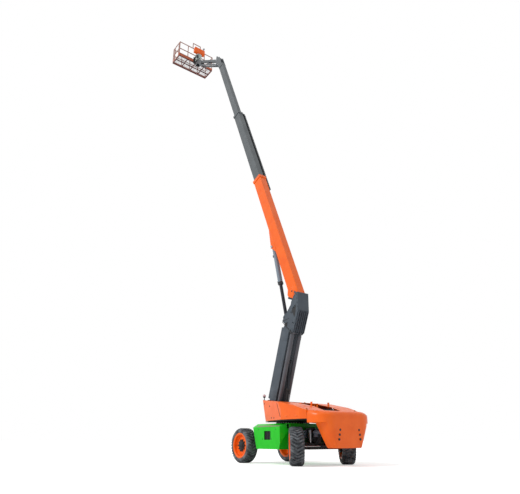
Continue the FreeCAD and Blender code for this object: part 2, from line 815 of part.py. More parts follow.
def chassis():
    """The frame box between the wheels, with long beams out to both axles."""
    top = "chassis_top_length / 2"
    low = "chassis_bottom_length / 2"
    side = [(f"-{low}", "chassis_bottom"), (low, "chassis_bottom"), (top, "chassis_shoulder"),
            (f"-{top}", "chassis_shoulder")]
    half = "chassis_width / 2"
    plan = plate("HullPlan", [[("through", f"-{half}"), ("through", half), ("-chassis_tail_x", half),
                               (f"-{top}", "chassis_tail_half"), (f"-{top}", "-chassis_tail_half"),
                               ("-chassis_tail_x", f"-{half}")]], "0", "2 * through")
    hull = slab("Hull", [side], "chassis_width")
    cap_half = "chassis_width / 2 - chassis_cap_inset"
    cap = beam("Cap", [[("-chassis_width / 2", "chassis_shoulder"),
                        ("chassis_width / 2", "chassis_shoulder"), (cap_half, "chassis_top"),
                        (f"-({cap_half})", "chassis_top")]], f"-{top}", "chassis_top_length")
    inner_side = [(f"chassis_wall - {low}", "chassis_bottom + chassis_wall"),
                  (f"{low} - chassis_wall", "chassis_bottom + chassis_wall"),
                  (f"{top} - chassis_wall", "chassis_shoulder - chassis_wall"),
                  (f"chassis_wall - {top}", "chassis_shoulder - chassis_wall")]
    inner_half = f"({half} - chassis_wall)"
    inner_tail = f"(chassis_wall - {top})"
    inner_plan = plate("HollowPlan", [[
        ("through", f"-{inner_half}"), ("through", inner_half), ("-chassis_tail_x", inner_half),
        (inner_tail, "chassis_tail_half - chassis_wall"),
        (inner_tail, "chassis_wall - chassis_tail_half"), ("-chassis_tail_x", f"-{inner_half}")]],
        "0", "2 * through")
    hollow_side = slab("HollowSide", [inner_side], f"2 * {inner_half}")
    hollow = common("HullHollow", [hollow_side, inner_plan])
    roof = block("CapHollow", (f"chassis_wall - {top}", f"chassis_wall - ({cap_half})",
                               "chassis_shoulder - 2 * chassis_wall"),
                 ("chassis_top_length - 2 * chassis_wall", f"2 * ({cap_half} - chassis_wall)",
                  "chassis_top - chassis_shoulder + chassis_wall"))
    window = block("Window", ("-window_width / 2", "-chassis_width", "window_low"),
                   ("window_width", "2 * chassis_width", "window_high - window_low"))
    beams = []
    bores = []
    for name, y in (("Left", "beam_inner"), ("Right", "-beam_outer")):
        beams.append(block(f"Beam{name}", ("-beam_reach", y, BEAM_LOW),
                           ("2 * beam_reach", "beam_outer - beam_inner",
                            f"beam_high - {BEAM_LOW}")))
        beams.append(block(f"TieDownPlate{name}", ("-tie_down_x", y, "tie_down_z"),
                           ("2 * tie_down_x", "beam_outer - beam_inner", "tie_down_plate")))
        middle = f"{y} + (beam_outer - beam_inner) / 2"
        for end, x in (("Front", "tie_down_x"), ("Rear", "-tie_down_x")):
            beams.append(bar(f"TieDownEnd{name}{end}", (x, middle, "tie_down_z"), "z",
                             "beam_outer - beam_inner", "tie_down_plate"))
            bores.append(bar(f"TieDownBore{name}{end}", (x, middle, "tie_down_z"), "z",
                             "tie_down_diameter", "tie_down_plate"))
    solid = common("HullTrimmed", [fuse("HullSolid", [hull, cap]), plan])
    shell = cut("HullShell", solid, [hollow, roof, window])
    frame = cut("ChassisBody", fuse("ChassisFrame", [shell] + beams), bores)
    subpart("chassis_frame", frame)


def swing_bearing():
    """The slewing ring on the chassis."""
    outer = bar("RingOuter", ("0", "0", "chassis_top"), "z", "bearing_diameter",
                "deck_low - bearing_gap - chassis_top")
    inner = bar("RingInner", ("0", "0", "chassis_top"), "z", "bearing_bore",
                "deck_low - chassis_top")
    subpart("swing_bearing", cut("SwingBearingBody", outer, [inner]))


# Turntable


def turntable_frame():
    """The deck, the two long side plates that carry the tower, and the pins across them."""
    deck = plate("Deck", [[("deck_front", "-deck_front_half"), ("deck_front", "deck_front_half"),
                           ("-deck_knee", "deck_half"), ("-hood_rear", "deck_half"),
                           ("-hood_rear", "-deck_half"), ("-deck_knee", "-deck_half")]],
                 "deck_low", "deck_plate")
    rail_low = "deck_low"
    head = "tower_pin_diameter * 1.5"
    side = [("-hood_rear", rail_low), ("deck_front + 150", rail_low),
            (f"tower_pin_x + {head}", "tower_pin_z - 150"), (f"tower_pin_x + {head}", "tower_pin_z"),
            (f"tower_pin_x + {head} / 2", f"tower_pin_z + {head}"),
            (f"tower_pin_x - {head}", f"tower_pin_z + {head}"),
            ("tower_pin_x - 420", "rail_top"), ("-hood_crest_x", "hood_crest - 60"),
            ("-hood_rear", "hood_top - 60")]
    rails = pair("Rail", [side], "channel_half", "rail_plate")
    span = "2 * (channel_half + rail_plate)"
    tower_pin = cross_bar("TowerPin", "tower_pin_x", "tower_pin_z", "tower_pin_diameter", span)
    rod_pin = cross_bar("RodPin", ROD_PIN_X, ROD_PIN_Z, "rod_pin_diameter", span)
    spacers = []
    gap = "channel_half - tower_half_width - 5"
    for name, y in (("Left", "tower_half_width + 5"), ("Right", "-channel_half")):
        spacers.append(bar(f"TowerSpacer{name}", ("tower_pin_x", y, "tower_pin_z"), "y",
                           "tower_pin_diameter * 2", gap))
    lug_root = [("tower_cylinder_x - 130", "deck_low"), ("tower_cylinder_x + 130", "deck_low"),
                ("tower_cylinder_x + 55", "tower_cylinder_z"),
                ("tower_cylinder_x - 55", "tower_cylinder_z")]
    lugs = eyes("TowerCylinderLug", lug_root, "tower_cylinder_x", "tower_cylinder_z",
                "small_eye_diameter / 2", "small_lug_inner", "small_lug_plate")
    lug_pin = cross_bar("TowerCylinderPin", "tower_cylinder_x", "tower_cylinder_z",
                        "small_pin_diameter", "2 * (small_lug_inner + small_lug_plate)")
    pieces = [deck] + rails + spacers + lugs + [tower_pin, rod_pin, lug_pin]
    subpart("turntable_frame", fuse("TurntableBody", pieces))


def shoulder(name, drop):
    """The space above the covers' sloping shoulder, which falls outboard and to the rear."""
    wedge = beam(name, [[("cover_inner", f"shoulder_rise - {drop}"), ("cover_half + 100", f"-{drop}"),
                         ("cover_half + 100", "through"), ("cover_inner", "through")]],
                 "-3 * through", "5 * through")
    return place(wedge, ("0", "0", "shoulder_height"), TILT, "shoulder_angle")


def sloped(name, outer, inner):
    """A cover's skin: the outer form less its shoulder, hollowed by the inner form less its own."""
    shell = cut(f"{name}Outer", outer, [shoulder(f"{name}Shoulder", "0")])
    hollow = cut(f"{name}Inner", inner, [shoulder(f"{name}ShoulderInner", "cover_skin")])
    return cut(f"{name}Body", shell, [hollow])


def nose():
    """The fixed side cover ahead of the hood, tapering in towards the tower."""
    skin = "cover_skin"
    seam_mid = "(seam_high_x + seam_low_x) / 2"
    plan = [("nose_front_high", "cover_inner"), ("nose_front_high", "nose_front_half"),
            (f"-({seam_mid})", "cover_half"), ("-seam_low_x", "cover_half"),
            ("-seam_low_x", "cover_inner")]
    side = [("-seam_high_x", "seam_top"), ("nose_front_high", "nose_top"),
            ("nose_front_low", "cover_low"), ("-seam_low_x", "cover_low")]
    outer = common("NoseOuter", [plate("NosePlan", [plan], "cover_low", "through"),
                                 slab("NoseSide", [side], "4 * through")])
    plan_in = [("nose_front_high - 25", "0"), ("nose_front_high - 25", f"nose_front_half - {skin}"),
               (f"-({seam_mid})", f"cover_half - {skin}"), (f"{skin} - seam_low_x", f"cover_half - {skin}"),
               (f"{skin} - seam_low_x", "0")]
    side_in = [(f"{skin} - seam_high_x", f"seam_top - {skin}"),
               (f"nose_front_high - 2 * {skin}", f"nose_top - {skin}"),
               (f"nose_front_low - 2 * {skin}", "0"), (f"{skin} - seam_low_x", "0")]
    inner = common("NoseInner", [plate("NosePlanInner", [plan_in], "0", "3 * through"),
                                 slab("NoseSideInner", [side_in], "4 * through")])
    left = sloped("NoseLeft", outer, inner)
    subpart("nose_cover_left", left)
    subpart("nose_cover_right", mirror("NoseRightBody", left))


def hood():
    """The lifting cover over the engine or the tanks, hinged along its inner top edge."""
    skin = "cover_skin"
    gap = "cover_gap"
    plan = [("0", "cover_inner"), ("0", "cover_half"), ("250 - hood_rear", "cover_half"),
            (f"-hood_rear + {gap}", "cover_rear_half"), (f"-hood_rear + {gap}", "cover_inner")]
    side = [(f"-seam_high_x - {gap}", "seam_top"), (f"-seam_low_x - {gap}", "cover_low"),
            (f"-hood_rear + {gap}", "cover_low"), (f"-hood_rear + {gap}", "hood_top"),
            ("-hood_crest_x", "hood_crest")]
    outer = common("HoodOuter", [plate("HoodPlan", [plan], "cover_low", "through"),
                                 slab("HoodSide", [side], "4 * through")])
    plan_in = [("0", "0"), ("0", f"cover_half - {skin}"), ("260 - hood_rear", f"cover_half - {skin}"),
               (f"-hood_rear + {gap} + {skin}", f"cover_rear_half - {skin}"),
               (f"-hood_rear + {gap} + {skin}", "0")]
    side_in = [(f"-seam_high_x - {gap} - {skin}", f"seam_top - {skin}"),
               (f"-seam_low_x - {gap} - {skin}", "0"), (f"-hood_rear + {gap} + {skin}", "0"),
               (f"-hood_rear + {gap} + {skin}", f"hood_top - {skin}"),
               ("-hood_crest_x", f"hood_crest - {skin}")]
    inner = common("HoodInner", [plate("HoodPlanInner", [plan_in], "0", "3 * through"),
                                 slab("HoodSideInner", [side_in], "4 * through")])
    leaves = []
    for name, x in (("Front", "hood_hinge_front"), ("Rear", "hood_hinge_rear")):
        leaves.append(bar(f"HoodHinge{name}", (f"-{x}", "cover_inner", "hood_hinge_z"), "x",
                          "hinge_diameter", "hinge_length"))
        leaves.append(block(f"HoodLeaf{name}", (f"-{x}", "cover_inner", "hood_crest"),
                            ("hinge_length", "cover_skin", "hood_hinge_z - hood_crest")))
    left = fuse("HoodLeftHinged", [sloped("HoodLeft", outer, inner)] + leaves)
    subpart("hood_left", left)
    subpart("hood_right", mirror("HoodRightBody", left))


def masses():
    """The engine and the hydraulic tank, each one plain block on the deck."""
    low = "deck_low + deck_plate"
    size = ("engine_length", "engine_width", "engine_height")
    subpart("power_pack", block("EngineBody", ("-engine_x", "cover_inner + engine_inset", low), size))
    tank_right = "-cover_inner - engine_inset - engine_width"
    subpart("hydraulic_tank", block("TankBody", ("-engine_x", tank_right, low), size))


def counterweight():
    """The cast block at the tail: wide at the hoods and narrow at its foot."""
    front = "-hood_rear"
    plan = [(front, "-cover_rear_half"), (front, "cover_rear_half"),
            (f"{front} - weight_bend_x", "weight_bend_half"),
            (f"{front} - weight_turn_x", "weight_turn_half"), ("-weight_rear", "weight_rear_half"),
            ("-weight_rear", "-weight_rear_half"), (f"{front} - weight_turn_x", "-weight_turn_half"),
            (f"{front} - weight_bend_x", "-weight_bend_half")]
    side = [(front, "weight_knee + 100"), (front, "hood_top"), ("60 - weight_rear", "weight_top"),
            ("-weight_rear", "weight_top - 90"), ("-weight_rear", "weight_knee"),
            ("-weight_front_x", "weight_knee")]
    upper = common("WeightUpper", [plate("WeightPlan", [plan], "weight_knee", "through"),
                                   slab("WeightSide", [side], "4 * through")])
    body = doc.addObject("PartDesign::Body", "WeightLower")
    top = sketch(body, "XY_Plane", [[
        ("-weight_inner_x + 40", "-weight_inner_half"), ("-weight_front_x", "-weight_front_half"),
        (f"{front} - weight_waist_x", "-weight_waist_half"), ("-weight_rear", "-weight_rear_half"),
        ("-weight_rear", "weight_rear_half"), (f"{front} - weight_waist_x", "weight_waist_half"),
        ("-weight_front_x", "weight_front_half"), ("-weight_inner_x + 40", "weight_inner_half")]])
    bind(top, "AttachmentOffset.Base.z", "weight_knee")
    foot = sketch(body, "XY_Plane", [[
        ("-weight_inner_x", "-weight_inner_half"), ("-weight_foot_x", "-weight_foot_half"),
        ("-weight_foot_x - weight_foot_length", "-weight_foot_half"),
        ("weight_draft - weight_rear", "weight_draft - weight_rear_half"),
        ("weight_draft - weight_rear", "weight_rear_half - weight_draft"),
        ("-weight_foot_x - weight_foot_length", "weight_foot_half"),
        ("-weight_foot_x", "weight_foot_half"), ("-weight_inner_x", "weight_inner_half")]])
    bind(foot, "AttachmentOffset.Base.z", "weight_low")
    loft = body.newObject("PartDesign::AdditiveLoft", "WeightLoft")
    loft.Profile = foot
    loft.Sections = [top]
    loft.Ruled = True
    body.Tip = loft
    subpart("counterweight", fuse("CounterweightBody", [upper, body]))


def beacon():
    """The flashing lamp on its post at the front of the left cover."""
    post = bar("BeaconPost", ("beacon_x", "beacon_y", "nose_top"), "z", "beacon_post_diameter",
               "beacon_post")
    lamp = bar("BeaconLamp", ("beacon_x", "beacon_y", "nose_top + beacon_post"), "z",
               "beacon_diameter", "beacon_height")
    subpart("beacon", fuse("BeaconBody", [post, lamp]))


# Tower boom, level rods and knuckle


def cylinder(tag, label, at, angle, reach, eye_width, pin):
    """A hydraulic cylinder along X: its barrel on the pin at the origin, its rod's eye at reach."""
    size = {"Tower": "tower", "Lift": "lift", "Jib": "jib"}[tag]
    barrel_d = f"{size}_barrel_diameter"
    barrel_l = f"{size}_barrel_length"
    rod_d = f"{size}_rod_diameter"
    rod_l = f"{size}_rod_length"
    eye_d = f"({pin} * 2.2)"
    bored_pin = f"{pin} + 2 * pin_clearance"
    case = bar(f"{tag}Barrel", ("0", "0", "0"), "x", barrel_d, barrel_l)
    gland = bar(f"{tag}Gland", (f"{barrel_l} - gland_length", "0", "0"), "x",
                f"{barrel_d} + 2 * gland_lip", "gland_length")
    tail = cross_bar(f"{tag}BarrelEye", "0", "0", eye_d, eye_width)
    bore = bar(f"{tag}Bore", (f"{eye_d} * 0.7", "0", "0"), "x", f"{rod_d} + 2 * pin_clearance",
               barrel_l)
    trims = [block(f"{tag}TrimLeft", (f"-{barrel_d}", f"{eye_width} / 2", f"-{barrel_d}"),
                   (f"{barrel_d} + {eye_d} * 0.6", barrel_d, f"2 * {barrel_d}")),
             block(f"{tag}TrimRight", (f"-{barrel_d}", f"-{eye_width} / 2 - {barrel_d}", f"-{barrel_d}"),
                   (f"{barrel_d} + {eye_d} * 0.6", barrel_d, f"2 * {barrel_d}"))]
    tail_bore = cross_bar(f"{tag}TailBore", "0", "0", bored_pin, "through")
    barrel = cut(f"{tag}BarrelBody", fuse(f"{tag}BarrelSolid", [case, gland, tail]),
                 [bore, tail_bore] + trims)
    place(barrel, at, TILT, angle)
    subpart(f"{label}_barrel", barrel)
    stem = bar(f"{tag}Rod", (f"{reach} - {rod_l}", "0", "0"), "x", rod_d, f"{rod_l} - {eye_d} * 0.4")
    eye = cross_bar(f"{tag}RodEye", reach, "0", eye_d, eye_width)
    eye_bore = cross_bar(f"{tag}RodBore", reach, "0", bored_pin, "through")
    rod = cut(f"{tag}RodBody", fuse(f"{tag}RodSolid", [stem, eye]), [eye_bore])
    place(rod, at, TILT, angle)
    subpart(f"{label}_rod", rod)


def tower_boom():
    """The lower boom: a box between two pins, with bored cheeks at both ends."""
    box_start = "tower_cheek_radius + 20"
    box = tube("TowerBox", "tower_half_width", "-tower_front", "tower_back", "tower_wall",
               box_start, f"tower_length - 2 * ({box_start})")
    pieces = [box]
    inner = "tower_half_width - tower_cheek"
    for name, pin, root in (("Foot", "0", "tower_cheek_radius + 220"),
                            ("Top", "tower_length", "tower_length - tower_cheek_radius - 220")):
        radius = "tower_cheek_radius"
        outline = [(root, "-tower_front + 20"), (root, "tower_back - 20"), (pin, radius),
                   (pin, f"-{radius}")]
        pieces += eyes(f"Tower{name}", outline, pin, "0", radius, inner, "tower_cheek")
    lug_root = [("tower_lug_s - 130", "tower_back"), ("tower_lug_s + 130", "tower_back"),
                ("tower_lug_s + 55", "tower_lug_t"), ("tower_lug_s - 55", "tower_lug_t")]
    pieces += eyes("TowerLug", lug_root, "tower_lug_s", "tower_lug_t", "small_eye_diameter / 2",
                   "small_lug_inner", "small_lug_plate")
    bored = "tower_pin_diameter + 2 * pin_clearance"
    bores = [cross_bar("TowerBoreFoot", "0", "0", bored, "through"),
             cross_bar("TowerBoreTop", "tower_length", "0", bored, "through"),
             cross_bar("TowerBoreLug", "tower_lug_s", "tower_lug_t", "small_pin_diameter", "through")]
    body = cut("TowerBody", fuse("TowerSolid", pieces), bores)
    subpart("tower_boom", place(body, ("tower_pin_x", "0", "tower_pin_z"), TILT, "tower_angle"))


def level_rods():
    """The twin rods behind the tower that keep the knuckle upright."""
    rods = []
    for name, sign in (("Left", ""), ("Right", "-")):
        middle = f"{sign}level_rod_spread"
        tubes = [bar(f"Level{name}", ("level_rod_eye / 2", middle, "0"), "x", "level_rod_diameter",
                     "tower_length - level_rod_eye")]
        for end, x in (("Foot", "0"), ("Top", "tower_length")):
            tubes.append(bar(f"Level{name}{end}", (x, f"{middle} - level_rod_eye_width / 2", "0"),
                             "y", "level_rod_eye", "level_rod_eye_width"))
            start = "0" if end == "Foot" else "tower_length - level_rod_eye"
            tubes.append(block(f"Level{name}{end}Neck",
                               (start, f"{middle} - level_rod_eye_width / 2", "-level_rod_eye / 3"),
                               ("level_rod_eye", "level_rod_eye_width", "level_rod_eye * 2 / 3")))
        rods.append(fuse(f"Level{name}Body", tubes))
    bored = "rod_pin_diameter + 2 * pin_clearance"
    bores = [cross_bar("LevelBoreFoot", "0", "0", bored, "through"),
             cross_bar("LevelBoreTop", "tower_length", "0", bored, "through")]
    body = cut("LevelRodsBody", fuse("LevelRodsSolid", rods), bores)
    subpart("level_rods", place(body, (ROD_PIN_X, "0", ROD_PIN_Z), TILT, "tower_angle"))


TOWER_LUG_X = f"(tower_pin_x + tower_lug_s * {TOWER_COS} - tower_lug_t * {TOWER_SIN})"
TOWER_LUG_Z = f"(tower_pin_z + tower_lug_s * {TOWER_SIN} + tower_lug_t * {TOWER_COS})"


def tower_cylinder():
    """The cylinder between the level rods that raises the tower."""
    dx = f"({TOWER_LUG_X} - tower_cylinder_x)"
    dz = f"({TOWER_LUG_Z} - tower_cylinder_z)"
    cylinder("Tower", "tower_cylinder", ("tower_cylinder_x", "0", "tower_cylinder_z"),
             f"atan2({dz}; {dx})", f"hypot({dx}; {dz})", "90", "small_pin_diameter")


def knuckle():
    """The upright between the booms: side plates, a back wall and the inner lugs of three pins."""
    side = [("200", "180"), ("-349", "-349"), ("-410", "-300"), ("-699", "420"), ("-699", "1090"),
            ("-565", "1090"), ("-330", "800"), ("-299", "690")]
    opening = [("-570", "660"), ("-505", "180"), ("-360", "520")]
    holes = [("-412", "5", "knuckle_hole / 2"), ("-320", "400", "knuckle_hole / 2.5")]
    plates = pair("KnuckleSide", [side, opening] + holes, "knuckle_half_inner", "knuckle_plate")
    back = block("KnuckleBack", ("-699", "-knuckle_half_inner", "420"),
                 ("50", "2 * knuckle_half_inner", "670"))
    web = block("KnuckleWeb", ("-660", "-knuckle_half_inner", "560"),
                ("330", "2 * knuckle_half_inner", "40"))
    pin_x = "-boom_pin_dx"
    lug = [("-650", "480"), ("-330", "570"), (f"{pin_x} + 115", "boom_pin_dz"),
           (f"{pin_x} - 115", "boom_pin_dz")]
    lugs = eyes("BoomLug", lug, pin_x, "boom_pin_dz", "115", "knuckle_lug_inner",
                "knuckle_lug_plate")
    foot = [("-400", "560"), ("-400", "780"), ("lift_foot_dx + 40", "lift_foot_dz + 70"),
            ("lift_foot_dx - 30", "lift_foot_dz - 75")]
    feet = eyes("LiftFoot", foot, "lift_foot_dx", "lift_foot_dz", "80", "lift_lug_inner",
                "lift_lug_plate")
    span = "2 * (knuckle_half_inner + knuckle_plate)"
    tower_pin = cross_bar("KnucklePin", "0", "0", "tower_pin_diameter", span)
    rod_pin = cross_bar("KnuckleRodPin", "-rod_offset_x", "-rod_offset_z", "rod_pin_diameter", span)
    boom_pin = cross_bar("KnuckleBoomPin", pin_x, "boom_pin_dz", "boom_pin_diameter",
                         "2 * base_half_width + 20")
    foot_bore = cross_bar("LiftFootBore", "lift_foot_dx", "lift_foot_dz", "lift_pin_diameter", "through")
    solid = fuse("KnuckleSolid", plates + [back, web] + lugs + feet + [tower_pin, rod_pin, boom_pin])
    body = cut("KnuckleBody", solid, [foot_bore])
    subpart("knuckle", place(body, (KNUCKLE_X, "0", KNUCKLE_Z)))
    cover_half = "(knuckle_half_inner - 2)"
    cover = slab("KnuckleCoverSlab", [[("-699", "415"), ("-410", "-305"), ("-380", "-290"),
                                       ("-660", "415")]], f"2 * {cover_half}")
    ribs = [slab(f"CoverRib{i}", [[("-699", "400"), ("-400", "-330"), ("-430", "-342"),
                                   ("-729", "388")]], "cover_rib",
                 f"({cover_half} - cover_rib / 2) * (2 * {i} / (cover_ribs - 1) - 1)")
            for i in range(SIZES["cover_ribs"])]
    subpart("knuckle_cover", place(fuse("KnuckleCoverBody", [cover] + ribs),
                                   (KNUCKLE_X, "0", KNUCKLE_Z)))


def base_boom():
    """The painted base section: a box with a forked foot, a cylinder bracket and a collar."""
    start = "base_foot * -1"
    box = tube("BaseBox", "base_half_width", "-base_low", "base_high", "base_wall", start,
               f"base_length - ({start})")
    mouth = collar("BaseCollar", "base_half_width", "-base_low", "base_high", "base_wall",
                   "collar_lip", "base_length - collar_length", "collar_length")
    cheek = [("-base_foot", "5 - base_low"), ("420", "5 - base_low"), ("420", "base_high - 5"),
             ("-base_foot", "base_high - 5")]
    cheeks = pair("BaseCheek", [cheek], "base_half_width - 35", "30")
    bracket = [("2200", "-base_low"), ("3500", "-base_low"), ("3300", "-base_low - 60"),
               ("lift_lug_s + 80", "-lift_lug_t - 50"), ("lift_lug_s - 70", "-lift_lug_t - 30")]
    brackets = eyes("LiftBracket", bracket, "lift_lug_s", "-lift_lug_t", "80", "lift_bracket_inner",
                    "lift_lug_plate")
    pin = cross_bar("LiftBracketPin", "lift_lug_s", "-lift_lug_t", "lift_pin_diameter",
                    "2 * (lift_bracket_inner + lift_lug_plate + 15)")
    throat = block("BaseThroat", ("-base_foot - 10", "35 - base_half_width", "-base_low - 10"),
                   ("430", "2 * (base_half_width - 35)", "base_low + base_high - 40"))
    pin_bore = cross_bar("BasePinBore", "0", "0", "boom_pin_diameter + 2 * pin_clearance", "through")
    bosses = stubs("LiftBoss", "lift_lug_s", "-lift_lug_t", "2 * lift_pin_diameter - 20",
                   "lift_lug_inner - 10", "lift_bracket_inner")
    solid = fuse("BaseSolid", [box, mouth] + cheeks + brackets + bosses + [pin])
    hole = cross_bar("BaseHole", "base_hole_s", "-base_hole_t", "base_hole", "through")
    body = cut("BaseBody", solid, [throat, pin_bore, hole])
    subpart("base_boom", place(body, (BOOM_X, "0", BOOM_Z), TILT, "boom_angle"))


LIFT_LUG_X = f"({BOOM_X} + lift_lug_s * {BOOM_COS} + lift_lug_t * {BOOM_SIN})"
LIFT_LUG_Z = f"({BOOM_Z} + lift_lug_s * {BOOM_SIN} - lift_lug_t * {BOOM_COS})"


def lift_cylinder():
    """The cylinder in front of the boom, hung from its bracket down to the knuckle's foot."""
    dx = f"({LIFT_FOOT_X} - {LIFT_LUG_X})"
    dz = f"({LIFT_FOOT_Z} - {LIFT_LUG_Z})"
    cylinder("Lift", "lift_cylinder", (LIFT_LUG_X, "0", LIFT_LUG_Z), f"atan2({dz}; {dx})",
             f"hypot({dx}; {dz})", "110", "lift_pin_diameter")


def on_boom(body):
    """Set a piece that is drawn in the boom's frame."""
    return place(body, (BOOM_X, "0", BOOM_Z), TILT, "boom_angle")


def telescope():
    """The middle section and the fly section with the head's cheek plates at its tip."""
    mid = tube("MidBox", "mid_half_width", "-mid_low", "mid_high", "mid_wall", "mid_tail",
               "mid_length")
    mouth = collar("MidCollar", "mid_half_width", "-mid_low", "mid_high", "mid_wall",
                   "collar_lip", "mid_tail + mid_length - collar_length", "collar_length")
    subpart("mid_boom", on_boom(fuse("MidBody", [mid, mouth])))
    fly = tube("FlyBox", "fly_half_width", "-fly_low", "fly_high", "fly_wall", "fly_tail",
               "fly_length")
    root = "fly_tail + fly_length"
    head = [(f"{root} - 220", "5 - fly_low"), (f"{root} - 220", "fly_high - 5"),
            ("head_pin_s - 30", "60 - head_pin_t + 60"), ("head_pin_s + 70", "60 - head_pin_t + 60"),
            ("head_pin_s + 100", "-head_pin_t - 40"), ("head_pin_s - 60", "-head_pin_t - 130"),
            (f"{root} + 150", "-fly_low - 20")]
    cheeks = pair("HeadCheek", [head], "fly_half_width", "head_plate")
    pin = cross_bar("HeadPin", "head_pin_s", "-head_pin_t", "head_pin_diameter",
                    "2 * (fly_half_width + head_plate)")
    subpart("fly_boom", on_boom(fuse("FlyBody", [fly, pin] + cheeks)))


def cable_carrier():
    """The hose carrier along the boom's right side, carried by the middle section."""
    tray = block("CarrierTray", ("carrier_tail", "-carrier_inner - carrier_width", "carrier_low"),
                 ("carrier_length", "carrier_width", "carrier_depth"))
    arm = block("CarrierArm", ("carrier_tail + carrier_length - carrier_arm", "-carrier_inner",
                               "carrier_low"),
                ("carrier_arm", "carrier_inner - mid_half_width - collar_lip", "carrier_arm"))
    links = [block(f"CarrierLink{i}",
                   (f"carrier_tail + {i} * link_pitch", "-carrier_inner - carrier_width - link_lip",
                    "carrier_low - link_lip"),
                   ("link_length", "carrier_width + link_lip", "carrier_depth + 2 * link_lip"))
             for i in range(int(number("carrier_length / link_pitch")))]
    subpart("cable_carrier", on_boom(fuse("CarrierBody", [tray, arm] + links)))


# Jib and rotator


def jib_pivot():
    """The upright weldment at the boom's head, kept level, with the jib's two pins."""
    low_x = "jib_pin_dx - jib_rod_dx"
    low_z = "jib_pin_dz - jib_rod_dz"
    side = [("-60", "-60"), (low_x, f"{low_z} - 60"), (f"{low_x} + 60", low_z),
            ("jib_pin_dx + 60", "jib_pin_dz"), ("jib_pin_dx + 40", "jib_pin_dz + 70"),
            ("jib_pin_dx + 10", "jib_pin_dz + 270"), ("jib_pin_dx - 40", "jib_pin_dz + 290"),
            ("-70", "60")]
    plates = pair("PivotSide", [side], "jib_plate_inner", "jib_plate")
    spacer = block("PivotSpacer", ("70", "-jib_plate_inner", "70"),
                   ("60", "2 * jib_plate_inner", "110"))
    hub = cross_bar("PivotHub", "0", "0", "head_pin_diameter + 50", "2 * fly_half_width - 10")
    high_pins = stubs("PivotHighPin", "jib_pin_dx", "jib_pin_dz", "jib_pin_diameter",
                      "jib_slot_half", "jib_plate_inner + jib_plate")
    low_pin = cross_bar("PivotLowPin", low_x, low_z, "jib_pin_diameter",
                        "2 * (jib_bar_inner + jib_bar_width)")
    bore = cross_bar("PivotBore", "0", "0", "head_pin_diameter + 2 * pin_clearance", "through")
    solid = fuse("PivotSolid", plates + high_pins + [spacer, hub, low_pin])
    subpart("jib_pivot", place(cut("PivotBody", solid, [bore]), (HEAD_X, "0", HEAD_Z)))


def jib_arms():
    """The jib: a box arm above and a pair of flat bars below it."""
    half = "jib_depth / 2"
    box = block("JibBox", ("0", "-jib_half_width", f"-{half}"),
                ("jib_length", "2 * jib_half_width", "jib_depth"))
    caps = []
    for name, x in (("Foot", "0"), ("Tip", "jib_length")):
        caps.append(cross_bar(f"Jib{name}", x, "0", "jib_depth", "2 * jib_half_width"))
    slot = block("JibSlot", ("-jib_depth", "-jib_slot_half", "-jib_depth"),
                 ("jib_depth + jib_slot_end", "2 * jib_slot_half", "2 * jib_depth"))
    hollow = block("JibHollow", ("jib_slot_end + jib_wall", "jib_wall - jib_half_width",
                                 f"jib_wall - {half}"),
                   ("jib_length - jib_slot_end - jib_wall - jib_tip_wall",
                    "2 * (jib_half_width - jib_wall)", "jib_depth - 2 * jib_wall"))
    root = [("jib_lug_s - 90", f"-{half}"), ("jib_lug_s + 90", f"-{half}"),
            ("jib_lug_s + 40", "-jib_lug_t"), ("jib_lug_s - 40", "-jib_lug_t")]
    lugs = eyes("JibLug", root, "jib_lug_s", "-jib_lug_t", "45", "jib_slot_half",
                "jib_half_width - jib_slot_half")
    bored = "jib_pin_diameter + 2 * pin_clearance"
    bores = [cross_bar("JibBoreFoot", "0", "0", bored, "through"),
             cross_bar("JibBoreTip", "jib_length", "0", bored, "through"),
             cross_bar("JibBoreLug", "jib_lug_s", "-jib_lug_t", "jib_pin_diameter", "through")]
    arm = cut("JibArmBody", fuse("JibArmSolid", [box] + caps + lugs), bores + [slot, hollow])
    subpart("jib_arm", place(arm, (JIB_X, "0", JIB_Z), TILT, "jib_angle"))
    loop = [("0", "-jib_bar_depth / 2"), ("jib_length", "-jib_bar_depth / 2"),
            ("jib_length", "jib_bar_depth / 2"), ("0", "jib_bar_depth / 2")]
    bars = []
    middle = "(jib_bar_inner + jib_bar_width / 2)"
    for name, sign in (("Left", ""), ("Right", "-")):
        flat = slab(f"JibBar{name}", [loop], "jib_bar_width", f"{sign}{middle}")
        ends = [bar(f"JibBar{name}{end}", (x, f"{sign}{middle} - jib_bar_width / 2", "0"), "y",
                    "jib_bar_depth", "jib_bar_width")
                for end, x in (("Foot", "0"), ("Tip", "jib_length"))]
        bars.append(fuse(f"JibBar{name}Body", [flat] + ends))
    holes = [cross_bar("JibBarBoreFoot", "0", "0", bored, "through"),
             cross_bar("JibBarBoreTip", "jib_length", "0", bored, "through")]
    low = cut("JibBarsBody", fuse("JibBarsSolid", bars), holes)
    subpart("jib_level_bars", place(low, (f"{JIB_X} - jib_rod_dx", "0", f"{JIB_Z} - jib_rod_dz"),
                                    TILT, "jib_angle"))


def jib_cylinder():
    """The cylinder from the jib's lower pin to the middle of its arm."""
    lug_x = "(jib_lug_s * cos(jib_angle * 1deg) + jib_lug_t * sin(jib_angle * 1deg))"
    lug_z = "(jib_lug_s * sin(jib_angle * 1deg) - jib_lug_t * cos(jib_angle * 1deg))"
    dx = f"({lug_x} + jib_rod_dx)"
    dz = f"({lug_z} + jib_rod_dz)"
    cylinder("Jib", "jib_cylinder", (f"{JIB_X} - jib_rod_dx", "0", f"{JIB_Z} - jib_rod_dz"),
             f"atan2({dz}; {dx})", f"hypot({dx}; {dz})", "70", "jib_pin_diameter")


